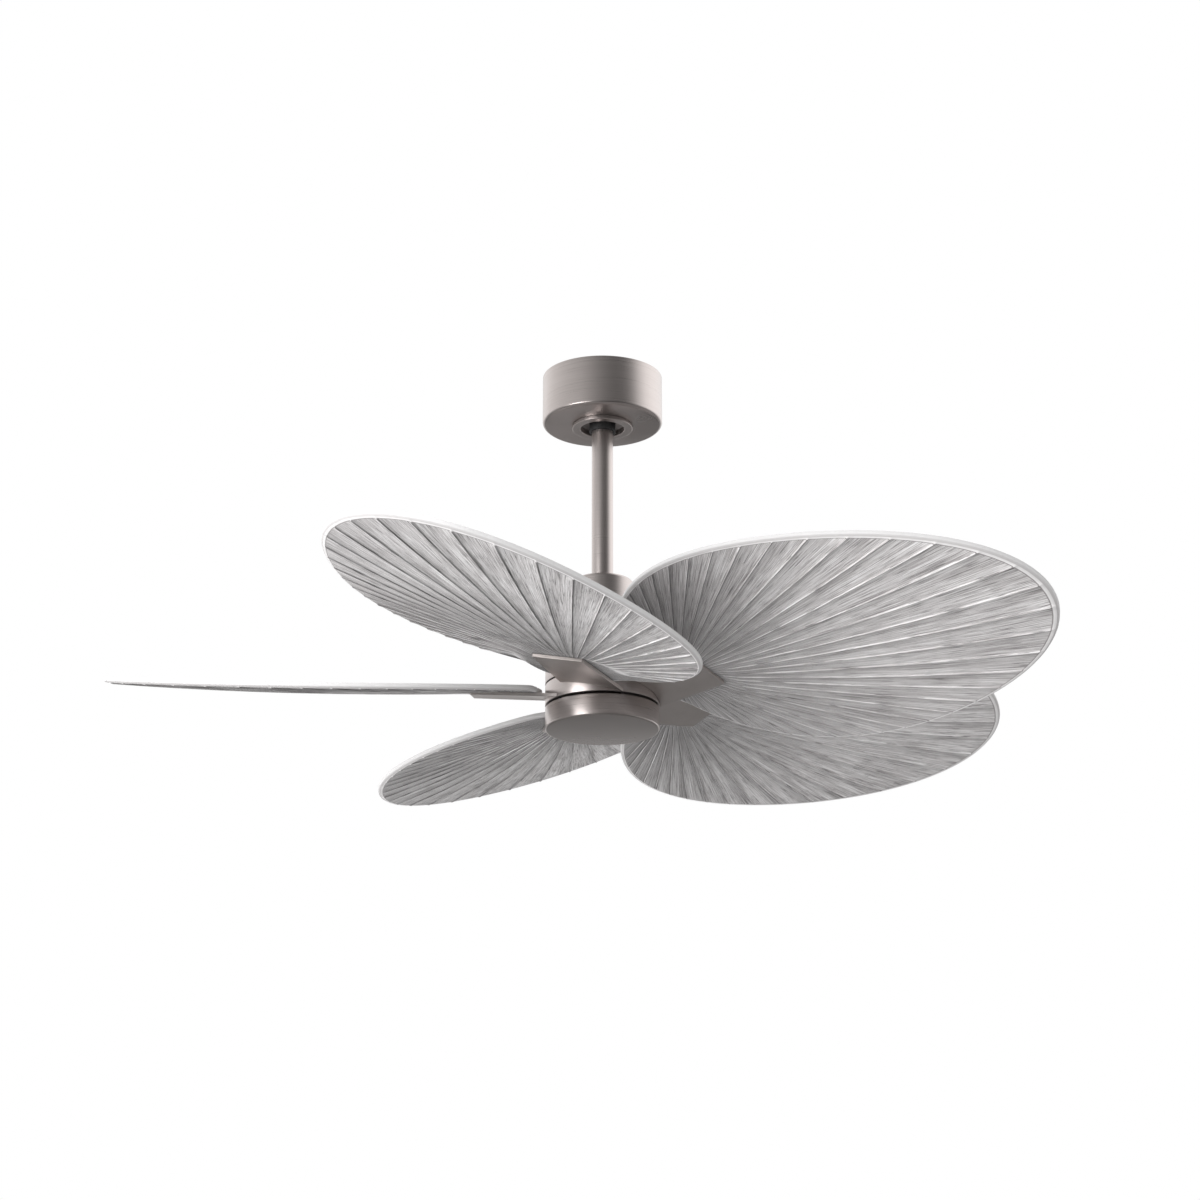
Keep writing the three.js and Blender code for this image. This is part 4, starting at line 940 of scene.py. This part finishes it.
def make_screws():
    above = ARM_THICK + 2 * SEAT_GAP + BLADE_SIZES["Pad Thickness"]
    rotor = []
    for k in range(BLADES):
        arm = around(k) @ arm_frame
        head_down = Matrix.Translation((BOLT_AT, 0, -SEAT_GAP)) @ Matrix.Rotation(math.pi, 4, "X")
        rotor.append((f"arm_bolt_{k + 1}", arm @ head_down, BOLT_LENGTH))
        for n, side in ((1, -1), (2, 1)):
            seat = arm @ Matrix.Translation((SCREW_AT, side * SCREW_OUT, above))
            rotor.append((f"blade_screw_{k + 1}_{n}", seat, above - SEAT_GAP - ARM_SKIN))
    groups = {
        "ceiling_mount": [boxed_screw(f"{kind}_screw_{n}", False) for kind in ("canopy", "bracket") for n in (1, 2)],
        "motor_drop": [boxed_screw(f"housing_screw_{n}", True) for n in (1, 2)],
        "rotor": rotor,
    }
    tree = screw_tree()
    for body, screws in groups.items():
        seats = bpy.data.meshes.new(f"{body}_screw_seats")
        seats.from_pydata([place.translation for _, place, _ in screws], [], [])
        for name, kind in (("turn", "FLOAT_VECTOR"), ("way", "FLOAT_VECTOR"), ("length", "FLOAT")):
            seats.attributes.new(name, kind, "POINT")
        for i, (_, place, length) in enumerate(screws):
            seats.attributes["turn"].data[i].vector = place.to_euler()
            seats.attributes["way"].data[i].vector = place.to_3x3() @ Vector((0, 0, -1))
            seats.attributes["length"].data[i].value = length
        mesh = grown_mesh(f"{body}_screws", tree, {**SCREW_SIZES, "Material": finishes["zinc_steel"]}, seats)
        for name in ("turn", "way", "length", "down the shank"):
            mesh.attributes.remove(mesh.attributes[name])
        piece = dress(f"{body}_screws", mesh, body, finishes["zinc_steel"], 40)
        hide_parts(*[name for name, _, _ in screws])


# ======== The rest of the frame ========


def paint_nodes():
    slots = {row["node"]: row["material_slot"] for row in frame["record"]["subparts"]}
    for name, piece in frame["nodes"].items():
        piece.data.materials.clear()
        piece.data.materials.append(finishes[slots[name]])


# ======== Studio ========

# What the metal mirrors: light against azimuth round the studio, and a factor against height, low to high.
WALL_LIGHT = [(0, 0.8), (0.07, 0.62), (0.14, 0.5), (0.2, 0.34), (0.25, 0.22), (0.32, 0.14), (0.38, 0.18), (0.42, 0.4)]
WALL_LIGHT += [(0.46, 0.95), (0.5, 1.4), (0.56, 1.6), (0.64, 1.5), (0.75, 0.9), (0.86, 1.25), (0.93, 1.0), (1, 0.8)]
WALL_RISE = [(0, 0.24), (0.2, 0.24), (0.27, 0.12), (0.34, 0.14), (0.39, 0.42), (0.47, 0.78), (0.58, 1), (1, 1)]
FLOOR_MIRRORED = 0.22
KEY_SIDE = (-0.8, -0.38, -0.46)  # the world's light is strongest from the left, and from the front and below
ROOM_LIGHT = 0.68
KEY_LIGHT = 2.75
KEY_NARROWNESS = 1.5
FLOOR_HALF = 2.5
FLOOR_LEVEL = -2.4


def make_world():
    """A white studio. The camera sees it plain, metal sees its walls, and the rest is lit most from the left."""
    world = bpy.data.worlds.new("white studio")
    bpy.context.scene.world = world
    world.use_nodes = True
    world.node_tree.nodes.clear()
    add = partial(add_node, world.node_tree)
    toward = add("ShaderNodeTexCoord").outputs["Generated"]
    parts = add("ShaderNodeSeparateXYZ", [toward])
    azimuth = add(MATH, [parts.outputs[1], parts.outputs[0]], operation="ARCTAN2")
    turn = add(MAP_RANGE, [azimuth, -math.pi, math.pi, 0.0, 1.0])
    # Azimuth -180 to 180 degrees as 0 to 1; the camera stands at -90, which is 0.25.
    walls = add(CURVE, {"Value": turn})
    draw_curve(walls, WALL_LIGHT)
    height = add(MAP_RANGE, [parts.outputs[2], -1.0, 1.0, 0.0, 1.0])
    rise = add(CURVE, {"Value": height})
    draw_curve(rise, WALL_RISE)
    mirrored = add(MATH, [walls, rise], operation="MULTIPLY")
    dot = add("ShaderNodeVectorMath", [toward, KEY_SIDE], operation="DOT_PRODUCT").outputs["Value"]
    facing = add(MAP_RANGE, [dot, 0.0, 1.0, 0.0, 1.0])
    lobe = add(MATH, [facing, KEY_NARROWNESS], operation="POWER")
    spread = add(MATH, [lobe, KEY_LIGHT, ROOM_LIGHT], operation="MULTIPLY_ADD")
    path = add("ShaderNodeLightPath")
    shiny = add(MATH, [path.outputs["Is Glossy Ray"], path.outputs["Is Transmission Ray"]], operation="MAXIMUM")
    level = add(MIX, {0: shiny, 2: spread, 3: mirrored}, data_type="FLOAT")
    level = add(MIX, {0: path.outputs["Is Camera Ray"], 2: level, 3: 1.0}, data_type="FLOAT")
    background = add("ShaderNodeBackground", {"Color": (1, 1, 1, 1), "Strength": level})
    add("ShaderNodeOutputWorld", [background])


def make_floor():
    """A pale floor that is white to the camera and pale grey in the metal."""
    made, add, shader = start_material("pale studio floor")
    feed(shader, {"Base Color": linear("#ececec"), "Roughness": 0.9})
    output = next(node for node in made.node_tree.nodes if node.type == "OUTPUT_MATERIAL")
    path = add("ShaderNodeLightPath")
    seen = add(MIX, {0: path.outputs["Is Camera Ray"], 2: FLOOR_MIRRORED, 3: 1.0}, data_type="FLOAT")
    glow = add("ShaderNodeEmission", {"Color": (1, 1, 1, 1), "Strength": seen})
    direct = add(MATH, [path.outputs["Is Camera Ray"], path.outputs["Is Glossy Ray"]], operation="MAXIMUM")
    mixed = add("ShaderNodeMixShader", [direct, shader, glow])
    # From underneath it is clear, so that it hides nothing in a view from below.
    under = add("ShaderNodeNewGeometry").outputs["Backfacing"]
    clear = add("ShaderNodeBsdfTransparent")
    feed(output, [add("ShaderNodeMixShader", [under, mixed, clear])])
    mesh = bpy.data.meshes.new("floor")
    corners = [(x * FLOOR_HALF, y * FLOOR_HALF, FLOOR_LEVEL) for x, y in ((-1, -1), (1, -1), (1, 1), (-1, 1))]
    mesh.from_pydata(corners, [], [(0, 1, 2, 3)])
    mesh.materials.append(made)
    floor = bpy.data.objects.new("floor", mesh)
    bpy.context.scene.collection.objects.link(floor)


def add_softbox(name, place, target, size, power):
    light = bpy.data.lights.new(name, "AREA")
    light.shape, light.size, light.size_y, light.energy = "RECTANGLE", size[0], size[1], power
    lamp = bpy.data.objects.new(name, light)
    bpy.context.scene.collection.objects.link(lamp)
    lamp.location = place
    lamp.rotation_euler = (Vector(target) - Vector(place)).to_track_quat("-Z", "Y").to_euler()


def make_camera():
    lens = bpy.data.cameras.new("camera")
    lens.sensor_width, lens.lens, lens.shift_x = 36.0, CAMERA_LENS, CAMERA_SHIFT
    lens.clip_end = 50
    camera = bpy.data.objects.new("camera", lens)
    bpy.context.scene.collection.objects.link(camera)
    camera.location = (0, -CAMERA_BACK, -CAMERA_DROP)
    camera.rotation_euler = (math.pi / 2 + CAMERA_TILT, 0, 0)
    bpy.context.scene.camera = camera


make_camera()
paint_nodes()
make_canopy()
make_trim_ring()
make_ball()
make_rod()
make_cover()
make_housing()
make_band()
make_cap()
make_arms()
make_blades()
make_screws()
make_world()
make_floor()
add_softbox("left softbox", place=(-1.1, -1.1, -0.32), target=(0, 0, -0.46), size=(0.9, 0.4), power=6)
bpy.context.scene.view_settings.view_transform = "Standard"
